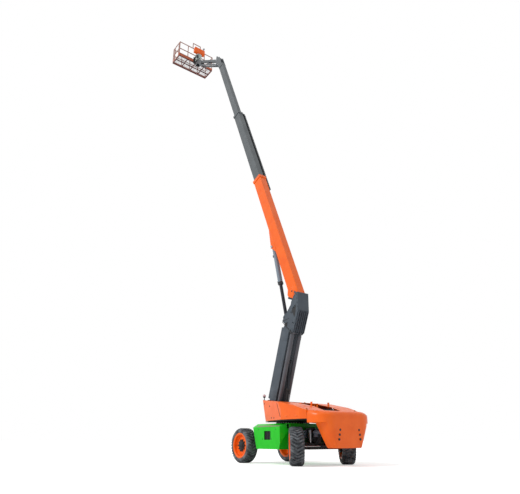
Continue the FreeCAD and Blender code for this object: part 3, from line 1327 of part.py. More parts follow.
def rotator():
    """The jib's level end, the rotary actuator on it and the fork that turns round it."""
    seat_x = "(rotator_x - seat_setback)"
    side = [("-60", "55"), (seat_x, "seat_high"), (seat_x, "seat_low"),
            ("20 - jib_rod_dx", "-jib_rod_dz - 55"), ("-50 - jib_rod_dx", "-jib_rod_dz - 55"),
            ("-70", "-60")]
    plates = pair("EndSide", [side], "jib_plate_inner", "jib_plate")
    seat = block("EndSeat", (seat_x, "-seat_half", "seat_low"),
                 ("seat_length", "2 * seat_half", "seat_high - seat_low"))
    seat_hollow = block("EndSeatHollow", (f"{seat_x} + jib_plate", "jib_plate - seat_half", "seat_low"),
                        ("seat_length - 2 * jib_plate", "2 * (seat_half - jib_plate)",
                         "seat_high - seat_low - jib_plate"))
    neck = bar("EndNeck", ("rotator_x", "0", "seat_high"), "z", "neck_diameter",
               "rotator_rise - seat_high")
    high_pin = cross_bar("EndHighPin", "0", "0", "jib_pin_diameter",
                         "2 * (jib_plate_inner + jib_plate)")
    low_pins = stubs("EndLowPin", "-jib_rod_dx", "-jib_rod_dz", "jib_pin_diameter",
                     "jib_plate_inner", "jib_bar_inner + jib_bar_width")
    box = cut("EndSeatShell", seat, [seat_hollow])
    end = fuse("JibEndBody", plates + low_pins + [box, neck, high_pin])
    subpart("jib_end", place(end, (JIB_END_X, "0", JIB_END_Z)))
    drum = bar("Drum", (ROTATOR_X, "0", DRUM_LOW), "z", "rotator_diameter", "rotator_height")
    core = bar("DrumCore", (ROTATOR_X, "0", f"{DRUM_LOW} + rotator_wall"), "z",
               "rotator_diameter - 2 * rotator_wall", "rotator_height - 2 * rotator_wall")
    drum_bore = bar("DrumBore", (ROTATOR_X, "0", f"{DRUM_HIGH} - rotator_wall"), "z",
                    "shaft_diameter + 2 * pin_clearance", "rotator_wall")
    subpart("rotator", cut("RotatorBody", drum, [core, drum_bore]))
    half = "fork_width / 2"
    start = f"{ROTATOR_X} - fork_overhang"
    length = "platform_setback + fork_overhang"
    top = block("ForkTop", (start, f"-{half}", f"{DRUM_HIGH} + fork_gap"),
                (length, "fork_width", "fork_plate"))
    low = block("ForkLow", (start, f"-{half}", f"{DRUM_LOW} - fork_gap - fork_plate"),
                (length, "fork_width", "fork_plate"))
    wall = block("ForkWall", (f"{BASKET_X} - toe_plate - fork_wall", "-fork_wall_width / 2",
                              f"{DRUM_LOW} - fork_gap - fork_plate"),
                 ("fork_wall", "fork_wall_width", "rotator_height + 2 * (fork_gap + fork_plate)"))
    shaft = bar("ForkShaft", (ROTATOR_X, "0", f"{DRUM_HIGH} - fork_shaft"), "z", "shaft_diameter",
                "fork_shaft + fork_gap + fork_plate")
    neck_bore = bar("ForkBore", (ROTATOR_X, "0", f"{DRUM_LOW} - fork_gap - fork_plate"), "z",
                    "neck_diameter + 2 * fork_gap", "fork_plate")
    subpart("platform_fork", cut("ForkBody", fuse("ForkSolid", [top, low, wall, shaft]),
                                 [neck_bore]))


# Platform


def rail(name, start, direction, length):
    """A square guard-rail tube from its low corner."""
    sizes = {"x": (length, "rail_tube", "rail_tube"), "y": ("rail_tube", length, "rail_tube"),
             "z": ("rail_tube", "rail_tube", length)}
    return block(name, start, sizes[direction])


def platform():
    """The work platform: floor, beams, toe boards, guard rails, gate and control console."""
    half = "platform_width / 2"
    near = BASKET_X
    far = f"({BASKET_X} + platform_depth - rail_tube)"
    floor = FLOOR_Z
    subpart("platform_floor", block("FloorBody", (near, f"-{half}", f"{floor} - floor_plate"),
                                    ("platform_depth", "platform_width", "floor_plate")))
    beams = []
    beam_low = f"{floor} - floor_plate - floor_beam"
    for i, x in enumerate((near, f"{near} + platform_depth / 2 - floor_beam / 2",
                           f"{near} + platform_depth - floor_beam")):
        beams.append(block(f"FloorLong{i}", (x, f"-{half}", beam_low),
                           ("floor_beam", "platform_width", "floor_beam")))
    for i in range(5):
        y = f"-{half} + {i} * (platform_width - floor_beam) / 4"
        beams.append(block(f"FloorCross{i}", (near, y, beam_low),
                           ("platform_depth", "floor_beam", "floor_beam")))
    tubes = []
    tops = (("Top", f"{floor} + platform_rail - rail_tube"), ("Mid", f"{floor} + platform_rail / 2"))
    gate_near = f"({near} + gate_inset)"
    gate_far = f"({gate_near} + gate_width)"
    for name, z in tops:
        tubes.append(rail(f"{name}Near", (near, f"-{half}", z), "y", "platform_width"))
        tubes.append(rail(f"{name}Far", (far, f"-{half}", z), "y", "platform_width"))
        tubes.append(rail(f"{name}Right", (near, f"-{half}", z), "x", "platform_depth"))
        tubes.append(rail(f"{name}LeftNear", (near, f"{half} - rail_tube", z), "x",
                          "gate_inset"))
        tubes.append(rail(f"{name}LeftFar", (gate_far, f"{half} - rail_tube", z), "x",
                          "platform_depth - gate_inset - gate_width"))
    for i in range(5):
        y = f"-{half} + {i} * (platform_width - rail_tube) / 4"
        for name, x in (("Near", near), ("Far", far)):
            tubes.append(rail(f"Post{name}{i}", (x, y, floor), "z", "platform_rail"))
    tubes.append(rail("GatePostNear", (f"{gate_near} - rail_tube", f"{half} - rail_tube", floor),
                      "z", "platform_rail"))
    tubes.append(rail("GatePostFar", (gate_far, f"{half} - rail_tube", floor), "z",
                      "platform_rail"))
    hoop_low = f"{floor} + platform_rail - rail_tube"
    for name, y in (("Left", "hoop_half - rail_tube"), ("Right", "-hoop_half")):
        tubes.append(rail(f"Hoop{name}", (near, y, hoop_low), "z", "hoop_height"))
    tubes.append(rail("HoopTop", (near, "-hoop_half", f"{hoop_low} + hoop_height - rail_tube"), "y",
                      "2 * hoop_half"))
    toe = "toe_plate"
    boards = [block("ToeNear", (f"{near} - {toe}", f"-{half}", floor),
                    (toe, "platform_width", "toe_board")),
              block("ToeFar", (f"{far} + rail_tube", f"-{half}", floor),
                    (toe, "platform_width", "toe_board")),
              block("ToeRight", (f"{near} - {toe}", f"-{half} - {toe}", floor),
                    (f"platform_depth + 2 * {toe}", toe, "toe_board"))]
    subpart("platform_frame", fuse("PlatformFrameBody", beams + tubes + boards))
    swing = []
    gate_start = f"({gate_near} + gate_gap)"
    gate_length = "(gate_width - 2 * gate_gap)"
    gate_y = f"{half} - rail_tube"
    for name, z in tops + (("Low", f"{floor} + gate_low"),):
        swing.append(rail(f"Gate{name}", (gate_start, gate_y, z), "x", gate_length))
    for name, x in (("Near", gate_start), ("Far", f"{gate_start} + {gate_length} - rail_tube")):
        swing.append(rail(f"GateBar{name}", (x, gate_y, f"{floor} + gate_low"), "z",
                          "platform_rail - gate_low"))
    for i, z in enumerate(("gate_hinge_low", "gate_hinge_high")):
        swing.append(bar(f"GateHinge{i}", (f"{gate_start} + {gate_length}", f"{gate_y} - gate_hinge_out",
                                           f"{floor} + {z}"), "z", "hinge_diameter", "hinge_length"))
        swing.append(block(f"GateLeaf{i}", (f"{gate_start} + {gate_length} - rail_tube",
                                            f"{gate_y} - gate_hinge_out", f"{floor} + {z}"),
                           ("rail_tube", "gate_hinge_out", "hinge_length")))
    subpart("gate", fuse("GateBody", swing))
    face = [("-console_depth", "0"), ("-console_gap", "0"), ("-console_gap", "console_front"),
            ("-console_depth", "console_height")]
    skin = "console_skin"
    inside = [(f"{skin} - console_depth", skin), (f"-console_gap - {skin}", skin),
              (f"-console_gap - {skin}", f"console_front - {skin}"),
              (f"{skin} - console_depth", f"console_height - {skin} * 2")]
    console = cut("ConsoleBody", slab("ConsoleSlab", [face], "console_width"),
                  [slab("ConsoleInside", [inside], f"console_width - 2 * {skin}")])
    subpart("control_console", place(console, (near, "-console_y", f"{FLOOR_Z} + console_rise")))


def finish():
    """Recompute, check every object, and write each sub-part to its own file."""
    doc.recompute()
    bad = [o.Name for o in doc.Objects if {"Invalid", "Error"} & set(o.State)]
    if bad:
        raise RuntimeError(f"failed objects: {bad}")
    os.makedirs("parts", exist_ok=True)
    for thing in SUBPARTS:
        if thing.Shape.isNull() or not thing.Shape.isValid():
            raise RuntimeError(f"bad shape: {thing.Label}")
        thing.Shape.exportStep(f"parts/{thing.Label}.step")
    print(f"{len(SUBPARTS)} sub-parts written")


wheels()
steer_knuckle("Left", KINGPIN_Y, "-steer_rest")
steer_knuckle("Right", f"-{KINGPIN_Y}", "180 - steer_rest")
front_axle()
rear_axle()
steering()
chassis()
swing_bearing()
turntable_frame()
nose()
hood()
masses()
counterweight()
beacon()
tower_boom()
level_rods()
tower_cylinder()
knuckle()
base_boom()
lift_cylinder()
telescope()
cable_carrier()
jib_pivot()
jib_arms()
jib_cylinder()
rotator()
platform()
finish()
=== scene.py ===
# %% [markdown]
# # An articulating boom lift
# The machine is a chassis on four lugged tyres, a turntable under orange covers, a tower boom
# with two level rods, a knuckle, a three-section telescopic boom, a jib and a work platform.
# Its CAD model comes in as a fixed frame. This lesson gives every node a real finish and adds
# the pieces that a plain CAD model lacks: lugs, bolts, hoses, lamps, grating and controls.

# %% Load the frame
import json
import math

import bmesh
import bpy
from mathutils import Matrix, Vector


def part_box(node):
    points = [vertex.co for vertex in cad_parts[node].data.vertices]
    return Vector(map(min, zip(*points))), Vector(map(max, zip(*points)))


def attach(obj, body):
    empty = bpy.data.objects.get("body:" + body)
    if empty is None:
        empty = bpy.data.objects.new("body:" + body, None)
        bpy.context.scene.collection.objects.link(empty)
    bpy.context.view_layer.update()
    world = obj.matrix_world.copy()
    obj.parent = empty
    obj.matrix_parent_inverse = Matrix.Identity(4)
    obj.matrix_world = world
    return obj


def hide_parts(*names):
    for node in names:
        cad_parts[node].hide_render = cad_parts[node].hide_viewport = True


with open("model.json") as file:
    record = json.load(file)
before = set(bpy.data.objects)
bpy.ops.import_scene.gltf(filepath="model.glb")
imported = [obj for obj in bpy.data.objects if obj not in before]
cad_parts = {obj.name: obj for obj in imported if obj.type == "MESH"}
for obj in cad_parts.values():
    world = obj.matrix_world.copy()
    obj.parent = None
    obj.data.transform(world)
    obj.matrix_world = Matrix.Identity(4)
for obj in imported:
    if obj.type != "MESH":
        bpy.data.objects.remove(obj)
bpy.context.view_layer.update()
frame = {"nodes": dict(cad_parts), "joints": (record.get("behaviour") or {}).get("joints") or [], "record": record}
nodes = frame["nodes"]
joints = {joint["name"]: joint for joint in frame["joints"]}
body_of = {node: body for body, held in frame["record"]["behaviour"]["bodies"].items() for node in held}
MM = 0.001
SIDES = ((1, "left"), (-1, "right"))
X, Y, Z = Vector((1, 0, 0)), Vector((0, 1, 0)), Vector((0, 0, 1))


# %% [markdown]
# ## Helpers
# Colours are written as the hex codes that a paint chart or a colour picker gives, and Blender
# wants linear light, so one function turns one into the other. One more function adds a shader
# node: its inputs are either numbers or sockets of nodes made before it, so a material reads
# from top to bottom like a recipe.

# %% Colours and shader nodes
def colour(code):
    """A hex colour as linear red, green, blue and alpha."""
    channels = [int(code[i:i + 2], 16) / 255 for i in (1, 3, 5)]
    linear = [c / 12.92 if c <= 0.04045 else ((c + 0.055) / 1.055) ** 2.4 for c in channels]
    return (*linear, 1)


def add(tree, kind, inputs, **settings):
    """Add a shader node. An input is a value, or a socket to link from."""
    node = tree.nodes.new(kind)
    for name, value in settings.items():
        setattr(node, name, value)
    for name, value in inputs.items():
        if isinstance(value, bpy.types.NodeSocket):
            tree.links.new(value, node.inputs[name])
        else:
            node.inputs[name].default_value = value
    return node


def new_material(name):
    """An empty material with a Principled shader, the tree and the object coordinates."""
    material = bpy.data.materials.new(name)
    material.use_nodes = True
    tree = material.node_tree
    tree.nodes.clear()
    shader = add(tree, "ShaderNodeBsdfPrincipled", {})
    add(tree, "ShaderNodeOutputMaterial", {"Surface": shader.outputs["BSDF"]})
    place = add(tree, "ShaderNodeTexCoord", {}).outputs["Object"]
    return material, tree, shader, place


# %% [markdown]
# ## Sprayed enamel
# The covers, the counterweight and the booms are sprayed with two-pack enamel. Sprayed gloss
# paint is never optically flat: it has orange peel, a soft ripple a few millimetres across, and
# its colour and gloss drift where dust and rain have been. On an edge it is thin, so it wears pale
# there first, and the same pale edge colour is also a painted highlight along the edges. The
# ripple is a bump from noise, the drift is noise half a metre across, and the Bevel node finds the
# edges: where the rounded normal turns away from the true one, an edge is near. Each painted part
# has its own tone, since some greys are bluer or paler than others. The tower and the knuckle
# have the booms' slate paint painted darker, as painted shade.

# %% Enamel
EDGE_ROUNDING = 9 * MM


def enamel(name, base, shade, pale_edge, gloss, ripple=6, drift=450, clear=0.25):
    """Sprayed paint: its colour at its cleanest and dullest, and the pale colour of its edges, part wear and part
    painted highlight.
    """
    material, tree, shader, place = new_material(name)
    broad = add(tree, "ShaderNodeTexNoise",
                {"Vector": place, "Scale": 1 / (drift * MM), "Detail": 3.0, "Roughness": 0.6})
    clean = add(tree, "ShaderNodeMapRange",
                {"Value": broad.outputs["Fac"], "From Min": 0.3, "From Max": 0.7})
    paint = add(tree, "ShaderNodeMixRGB", {"Fac": clean.outputs["Result"], "Color1": colour(shade),
                                           "Color2": colour(base)})
    geometry = add(tree, "ShaderNodeNewGeometry", {})
    rounded = add(tree, "ShaderNodeBevel", {"Radius": EDGE_ROUNDING}, samples=4)
    turned = add(tree, "ShaderNodeVectorMath",
                 {0: rounded.outputs["Normal"], 1: geometry.outputs["Normal"]}, operation="DOT_PRODUCT")
    chips = add(tree, "ShaderNodeTexNoise", {"Vector": place, "Scale": 1 / (25 * MM), "Detail": 3.0})
    # Pale edges: partly paint worn thin, partly a painted highlight, in patches from the chip noise.
    pale_edges = add(tree, "ShaderNodeMapRange", {"Value": turned.outputs["Value"], "From Min": 0.99,
                                              "From Max": 0.86, "To Max": chips.outputs["Fac"]})
    surface = add(tree, "ShaderNodeMixRGB", {"Fac": pale_edges.outputs["Result"],
                                             "Color1": paint.outputs["Color"], "Color2": colour(pale_edge)})
    tree.links.new(surface.outputs["Color"], shader.inputs["Base Color"])
    dull = add(tree, "ShaderNodeMapRange",
               {"Value": clean.outputs["Result"], "To Min": gloss + 0.1, "To Max": gloss})
    tree.links.new(dull.outputs["Result"], shader.inputs["Roughness"])
    peel = add(tree, "ShaderNodeTexNoise", {"Vector": place, "Scale": 1 / (ripple * MM), "Detail": 1.0})
    bump = add(tree, "ShaderNodeBump", {"Height": peel.outputs["Fac"], "Strength": 0.06,
                                        "Distance": 0.4 * MM, "Normal": rounded.outputs["Normal"]})
    tree.links.new(bump.outputs["Normal"], shader.inputs["Normal"])
    shader.inputs["Specular IOR Level"].default_value = 0.35
    shader.inputs["Coat Weight"].default_value = clear
    shader.inputs["Coat Roughness"].default_value = 0.12
    return material


# The fourth colour of each paint is its pale edge colour, part wear and part painted highlight.
orange = enamel("orange_enamel", "#FE6C04", "#F36100", "#FF9A48", 0.34, clear=0.1)
green = enamel("green_enamel", "#06CC08", "#04BC08", "#7ADE7A", 0.36, clear=0.1)
# Pale green for the window frames and for the painted reflection on the cap's lower slope.
pale_green = enamel("pale_green_enamel", "#8A9C78", "#7C8E6C", "#A8B49A", 0.6, clear=0)
boom_grey = enamel("slate_satin_enamel", "#5C6265", "#54595C", "#888D90", 0.42, clear=0.05)
# The tower and the knuckle: the booms' slate paint painted darker and bluer, as painted shade on the lower booms.
slate_painted_shade = enamel("slate_painted_shade_enamel", "#4B545D", "#434C55", "#7C868F", 0.42, clear=0.05)
rod_grey = enamel("rod_satin_enamel", "#5B5D64", "#4E5057", "#8A8C94", 0.3, clear=0.2)
barrel_grey = enamel("pale_grey_enamel", "#7C8996", "#717E8B", "#A6B0BA", 0.36, clear=0.1)
drum_grey = enamel("grey_green_enamel", "#B2BDB8", "#A4AFAA", "#D2DAD6", 0.38, clear=0.1)
rail_orange = enamel("rail_orange_enamel", "#C8663F", "#BC5A36", "#E09A78", 0.4, clear=0.05)
chassis_black = enamel("chassis_black_enamel", "#2B2C2E", "#222325", "#55585B", 0.48, clear=0.0)
engine_grey = enamel("blue_grey_casting_enamel", "#8B97A8", "#6A727C", "#A5ACB4", 0.45, clear=0.1)


# %% [markdown]
# ## Rubber, moulded plastic, steel and glass
# Tyre rubber is a dark grey that scatters light, with pale dust in broad patches. Moulded parts
# such as the hose carrier have a fine spark-eroded grain. Cylinder rods are either hard chrome or
# nitrided black, and bolts are zinc-plated or painted over. Lamps have a coloured acrylic lens
# that light passes through.

# %% Rubber and moulded plastic
def rubber(name, base, dust, grain):
    """Black rubber with grey dust in broad patches and a fine scuffed grain."""
    material, tree, shader, place = new_material(name)
    patches = add(tree, "ShaderNodeTexNoise", {"Vector": place, "Scale": 7.0, "Detail": 6.0})
    dusty = add(tree, "ShaderNodeMapRange",
                {"Value": patches.outputs["Fac"], "From Min": 0.38, "From Max": 0.66})
    tint = add(tree, "ShaderNodeMixRGB", {"Fac": dusty.outputs["Result"], "Color1": colour(base),
                                          "Color2": colour(dust)})
    tree.links.new(tint.outputs["Color"], shader.inputs["Base Color"])
    scuffed = add(tree, "ShaderNodeMapRange",
                  {"Value": dusty.outputs["Result"], "To Min": 0.6, "To Max": 0.85})
    tree.links.new(scuffed.outputs["Result"], shader.inputs["Roughness"])
    fine = add(tree, "ShaderNodeTexNoise", {"Vector": place, "Scale": 1 / (grain * MM), "Detail": 4.0})
    bump = add(tree, "ShaderNodeBump",
               {"Height": fine.outputs["Fac"], "Strength": 0.3, "Distance": 0.6 * MM})
    tree.links.new(bump.outputs["Normal"], shader.inputs["Normal"])
    return material


def moulded(name, base, roughness, grain=2.5):
    """Injection-moulded plastic with a spark-eroded grain."""
    material, tree, shader, place = new_material(name)
    shader.inputs["Base Color"].default_value = colour(base)
    cells = add(tree, "ShaderNodeTexVoronoi", {"Vector": place, "Scale": 1 / (grain * MM)})
    bump = add(tree, "ShaderNodeBump",
               {"Height": cells.outputs["Distance"], "Strength": 0.15, "Distance": 0.2 * MM})
    tree.links.new(bump.outputs["Normal"], shader.inputs["Normal"])
    wear = add(tree, "ShaderNodeTexNoise", {"Vector": place, "Scale": 8.0, "Detail": 4.0})
    rough = add(tree, "ShaderNodeMapRange", {"Value": wear.outputs["Fac"], "From Min": 0.3, "From Max": 0.7,
                                             "To Min": roughness - 0.08, "To Max": roughness + 0.12})
    tree.links.new(rough.outputs["Result"], shader.inputs["Roughness"])
    return material


tyre_rubber = rubber("tyre_rubber", "#313439", "#74797E", 3)
slate_rubber = rubber("slate_rubber", "#3B424B", "#4A525B", 3)
hose_rubber = rubber("hose_rubber", "#1C1D1F", "#2E3032", 2)
black_plastic = moulded("black_moulded_nylon", "#1D1E20", 0.5)
grey_plastic = moulded("grey_moulded_abs", "#8F9498", 0.45)
red_plastic = moulded("red_moulded_knob", "#B4231C", 0.35)


# %% Metals and lenses
def metal(name, base, stain, roughness, stretch=(4.0, 4.0, 4.0)):
    """Bare or plated steel, streaked along the directions where the stretch is small."""
    material, tree, shader, place = new_material(name)
    drawn = add(tree, "ShaderNodeMapping", {"Vector": place, "Scale": stretch})
    streaks = add(tree, "ShaderNodeTexNoise",
                  {"Vector": drawn.outputs["Vector"], "Scale": 5.0, "Detail": 6.0})
    tint = add(tree, "ShaderNodeMixRGB", {"Fac": streaks.outputs["Fac"], "Color1": colour(stain),
                                          "Color2": colour(base)})
    tree.links.new(tint.outputs["Color"], shader.inputs["Base Color"])
    rough = add(tree, "ShaderNodeMapRange",
                {"Value": streaks.outputs["Fac"], "To Min": roughness + 0.12, "To Max": roughness - 0.05})
    tree.links.new(rough.outputs["Result"], shader.inputs["Roughness"])
    shader.inputs["Metallic"].default_value = 1.0
    return material


def lens_plastic(name, base, rib=8):
    """A clear coloured acrylic lens with moulded ribs that spread the light."""
    material, tree, shader, place = new_material(name)
    shader.inputs["Base Color"].default_value = colour(base)
    shader.inputs["Roughness"].default_value = 0.12
    shader.inputs["Transmission Weight"].default_value = 0.35
    shader.inputs["IOR"].default_value = 1.49
    ribs = add(tree, "ShaderNodeTexWave", {"Vector": place, "Scale": 1 / (3.2 * rib * MM)},
               bands_direction="Z")
    bump = add(tree, "ShaderNodeBump",
               {"Height": ribs.outputs["Fac"], "Strength": 0.25, "Distance": 1 * MM})
    tree.links.new(bump.outputs["Normal"], shader.inputs["Normal"])
    return material


hard_chrome = metal("hard_chrome", "#D4D6DA", "#C2C4C8", 0.14)
nitrided = metal("nitrided_steel", "#3C3D42", "#2C2D31", 0.3)
zinc = metal("zinc_plated_steel", "#B9BCC0", "#95989C", 0.35, (30.0, 30.0, 30.0))
galvanised = metal("galvanised_steel", "#A9ACAF", "#8E9194", 0.45, (12.0, 12.0, 12.0))
amber = lens_plastic("amber_acrylic", "#F08A24")
rose = lens_plastic("rose_acrylic", "#EBC3C6")


# %% [markdown]
# ## A finish for every node
# Each CAD node keeps its mesh and gets its material in its own slot. The table is read by name,
# so that no node is left with the plain colour that the CAD model came with.

# %% Dress the CAD nodes
FINISH = {
    orange: ["nose_cover_left", "nose_cover_right", "hood_left", "hood_right", "counterweight",
             "base_boom", "control_console"],
    green: ["chassis_frame"],
    slate_painted_shade: ["tower_boom", "knuckle"],
    boom_grey: ["mid_boom", "fly_boom", "jib_pivot", "jib_arm", "jib_level_bars", "jib_end"],
    rod_grey: ["level_rods"],
    barrel_grey: ["lift_cylinder_barrel", "rotator", "jib_cylinder_barrel"],
    rail_orange: ["platform_frame", "gate"],
    chassis_black: ["swing_bearing", "front_axle", "rear_axle", "steer_cylinder", "steer_knuckle_left",
                    "steer_knuckle_right", "turntable_frame", "power_pack", "hydraulic_tank",
                    "platform_fork", "tower_cylinder_barrel"],
    tyre_rubber: ["front_left_tyre", "front_right_tyre", "rear_left_tyre", "rear_right_tyre"],
    slate_rubber: ["knuckle_cover"],
    black_plastic: ["cable_carrier", "beacon"],
    hard_chrome: ["jib_cylinder_rod", "steer_rod"],
    nitrided: ["lift_cylinder_rod", "tower_cylinder_rod"],
    galvanised: ["platform_floor"],
}
FINISH[orange] += [f"{end}_{side}_rim" for end in ("front", "rear") for side in ("left", "right")]
for finish, names in FINISH.items():
    for name in names:
        nodes[name].data.materials.clear()
        nodes[name].data.materials.append(finish)
plain = set(nodes) - {name for names in FINISH.values() for name in names}
print("nodes without a finish:", sorted(plain))


# %% [markdown]
# ## How the extra pieces are made
# Most pieces are turned, cut or bent from bar, plate and tube, so a few small tools are enough. A
# block is a cube with its edges softened, because no real edge is sharp. A turned piece is a
# profile spun about an axis, and round bars and bolts are made of such pieces. A pipe is a curve
# with a round section. Each piece is built in the frame of the part that carries it, such as a
# boom, and is moved to its place in the mesh, so that its object stays at the origin.

# %% Keeping a piece
def keep(bm, name, material, slot, sharp=35):
    """Make a piece of a bmesh, on the node that carries it. Edges past the sharp angle stay crisp."""
    bmesh.ops.recalc_face_normals(bm, faces=bm.faces)
    mesh = bpy.data.meshes.new(name)
    bm.to_mesh(mesh)
    bm.free()
    mesh.shade_smooth()
    mesh.set_sharp_from_angle(angle=math.radians(sharp))
    mesh.materials.append(material)
    piece = bpy.data.objects.new(name, mesh)
    bpy.context.scene.collection.objects.link(piece)
    body = body_of[slot]
    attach(piece, body)
    return piece


def aim(at, direction, side="Y"):
    """A place whose Z axis points along a direction."""
    turn = Vector(direction).to_track_quat("Z", side)
    return Matrix.LocRotScale(Vector(at), turn, None)


def tilted(at, direction):
    """A boom's own place: X along the boom, Y to the machine's left."""
    along = Vector(direction).normalized()
    axes = Matrix((along, Y, along.cross(Y))).transposed().to_4x4()
    return Matrix.Translation(at) @ axes


# %% Blocks, turned pieces and bolts
def add_block(bm, corner, opposite, place=Matrix(), soft=5 * MM):
    """A block between any two opposite corners, with softened edges."""
    corner, opposite = Vector(corner), Vector(opposite)
    size = Vector([abs(length) for length in opposite - corner])
    middle = Matrix.LocRotScale((corner + opposite) / 2, None, size)
    made = bmesh.ops.create_cube(bm, size=1, matrix=place @ middle)["verts"]
    edges = list({edge for vert in made for edge in vert.link_edges})
    width = min(soft, 0.3 * min(size))
    bmesh.ops.bevel(bm, geom=edges, offset=width, segments=2, profile=0.5, material=-1, affect="EDGES")


def add_turned(bm, profile, place=Matrix(), steps=32):
    """A profile of (radius, height) points spun about Z. Its ends lie on the axis or meet."""
    verts = [bm.verts.new((radius, 0, height)) for radius, height in profile]
    edges = [bm.edges.new(pair) for pair in zip(verts, verts[1:])]
    before = set(bm.verts) - set(verts)
    bmesh.ops.spin(bm, geom=verts + edges, cent=(0, 0, 0), axis=(0, 0, 1), angle=2 * math.pi,
                   steps=steps, use_merge=True)
    made = [vert for vert in bm.verts if vert not in before]
    bmesh.ops.remove_doubles(bm, verts=made, dist=1e-5)
    made = [vert for vert in bm.verts if vert not in before]
    bmesh.ops.transform(bm, matrix=place, verts=made)


def add_round(bm, radius, length, place=Matrix(), steps=24, soft=3 * MM):
    """A round bar along Z from the place, with softened rims."""
    soft = min(soft, radius / 3, length / 3)
    add_turned(bm, [(0, 0), (radius - soft, 0), (radius, soft), (radius, length - soft),
                    (radius - soft, length), (0, length)], place, steps)


def add_bolt(bm, at, direction, size):
    """A hexagon bolt head on its washer. Size is the thread's diameter."""
    place = aim(at, direction)
    add_round(bm, 1.1 * size, 0.2 * size, place, steps=16, soft=0.05 * size)
    bmesh.ops.create_cone(bm, cap_ends=True, segments=6, radius1=0.95 * size, radius2=0.85 * size,
                          depth=0.7 * size, matrix=place @ Matrix.Translation((0, 0, 0.55 * size)))


# %% Circles and pipes
def circle(count, radius, height=0, first=0):
    """Points spaced evenly on a circle about Z, from a first share of one space."""
    turns = [2 * math.pi * (i + first) / count for i in range(count)]
    return [Vector((radius * math.cos(turn), radius * math.sin(turn), height)) for turn in turns]


def pipe(name, points, diameter, material, slot, place=Matrix()):
    """A bent pipe of round section through points, with smooth bends."""
    curve = bpy.data.curves.new(name, "CURVE")
    curve.dimensions = "3D"
    curve.bevel_depth = diameter / 2
    curve.bevel_resolution = 3
    curve.use_fill_caps = True
    spline = curve.splines.new("NURBS")
    spline.points.add(len(points) - 1)
    for point, at in zip(spline.points, points):
        point.co = (*(place @ Vector(at)), 1)
    spline.order_u = 3
    spline.use_endpoint_u = True
    spline.resolution_u = 6
    curve.materials.append(material)
    piece = bpy.data.objects.new(name, curve)
    bpy.context.scene.collection.objects.link(piece)
    body = body_of[slot]
    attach(piece, body)
    return piece


# %% The frames of the moving parts
def joint_at(name):
    """Where a joint is, in metres."""
    return Vector(joints[name]["pos_m"])


TOWER = tilted(joint_at("tower_lift"), joint_at("upright_pivot") - joint_at("tower_lift"))
BOOM = tilted(joint_at("boom_lift"), joints["boom_extend"]["axis"])
JIB = tilted(joint_at("jib_lift"), joint_at("jib_head_level") - joint_at("jib_lift"))
KNUCKLE = Matrix.Translation(joint_at("upright_pivot"))
print("tower", round((joint_at("upright_pivot") - joint_at("tower_lift")).length, 3), "m long")


# %% [markdown]
# ## Tyres
# A rough-terrain tyre has a round carcass, a bead that sits in the rim, and deep chevron lugs that
# wrap over its shoulders so that they clean themselves. The carcass is a turned profile. One half
# lug is a small grid wrapped on the tread by a formula and extruded inward, wider at its root,
# as the mould leaves it. Spinning copies of it round the axle gives the tread.

# %% Carcass and lugs
TYRE_RADIUS = 560 * MM
TYRE_HALF = 214 * MM
LUGS = 34
LUG_WIDTH = 46 * MM
LUG_DEPTH = 44 * MM
LUG_SWEEP = 118 * MM
ROOT_SPREAD = 1.35
TREAD_HALF = 150 * MM
SHOULDER_DROP = 52 * MM


def tread_radius(across):
    """The radius of the lugs' tops at a distance from the tyre's middle."""
    past = max(0, abs(across) - TREAD_HALF) / (TYRE_HALF - TREAD_HALF)
    return TYRE_RADIUS - SHOULDER_DROP * past ** 1.7


def on_tread(across, round_tread, sink):
    """A point on the tread, from distances across and round it, sunk below the lugs' tops."""
    radius = tread_radius(across) - sink
    angle = round_tread / TYRE_RADIUS
    return Vector((radius * math.sin(angle), across, radius * math.cos(angle)))


def add_half_lug(bm, side, turn):
    """One arm of a chevron on the left or right of the tread."""
    grid = bmesh.ops.create_grid(bm, x_segments=1, y_segments=6, size=0.5)["verts"]
    flat = {vert: vert.co.copy() for vert in grid}
    faces = list({face for vert in grid for face in vert.link_faces})
    walls = bmesh.ops.extrude_face_region(bm, geom=faces)["geom"]
    lower = [item for item in walls if isinstance(item, bmesh.types.BMVert)]
    for vert in lower:
        flat[vert] = vert.co.copy()
    for vert, place in flat.items():
        along = place.y + 0.5
        width = LUG_WIDTH * (ROOT_SPREAD if vert in lower else 1)
        vert.co = on_tread(side * along * TYRE_HALF, LUG_SWEEP * (along - 0.5) + width * place.x,
                           LUG_DEPTH if vert in lower else 0)
    bmesh.ops.delete(bm, geom=[item for item in walls if isinstance(item, bmesh.types.BMFace)],
                     context="FACES_ONLY")
    spin = Matrix.Rotation(turn, 4, "Y")
    bmesh.ops.transform(bm, matrix=spin, verts=list(flat))


def tyre_mesh():
    """A tyre about the Y axis with its outer side on +Y."""
    bm = bmesh.new()
    half, carcass = TYRE_HALF, TYRE_RADIUS - 36 * MM
    side = [(0.375, half - 34 * MM), (0.400, half - 27 * MM), (0.411, half - 8 * MM), (0.418, half),
            (0.426, half - 4 * MM), (0.455, half - 1 * MM), (0.485, half - 3 * MM),
            (0.505, half - 18 * MM), (carcass - 6 * MM, half - 50 * MM)]
    profile = [(radius, -y) for radius, y in side] + [(radius, y) for radius, y in reversed(side)]
    profile.append(profile[0])
    add_turned(bm, profile, Matrix.Rotation(-math.pi / 2, 4, "X"), steps=72)
    for i in range(LUGS):
        for way in (1, -1):
            add_half_lug(bm, way, 2 * math.pi * i / LUGS)
    return bm


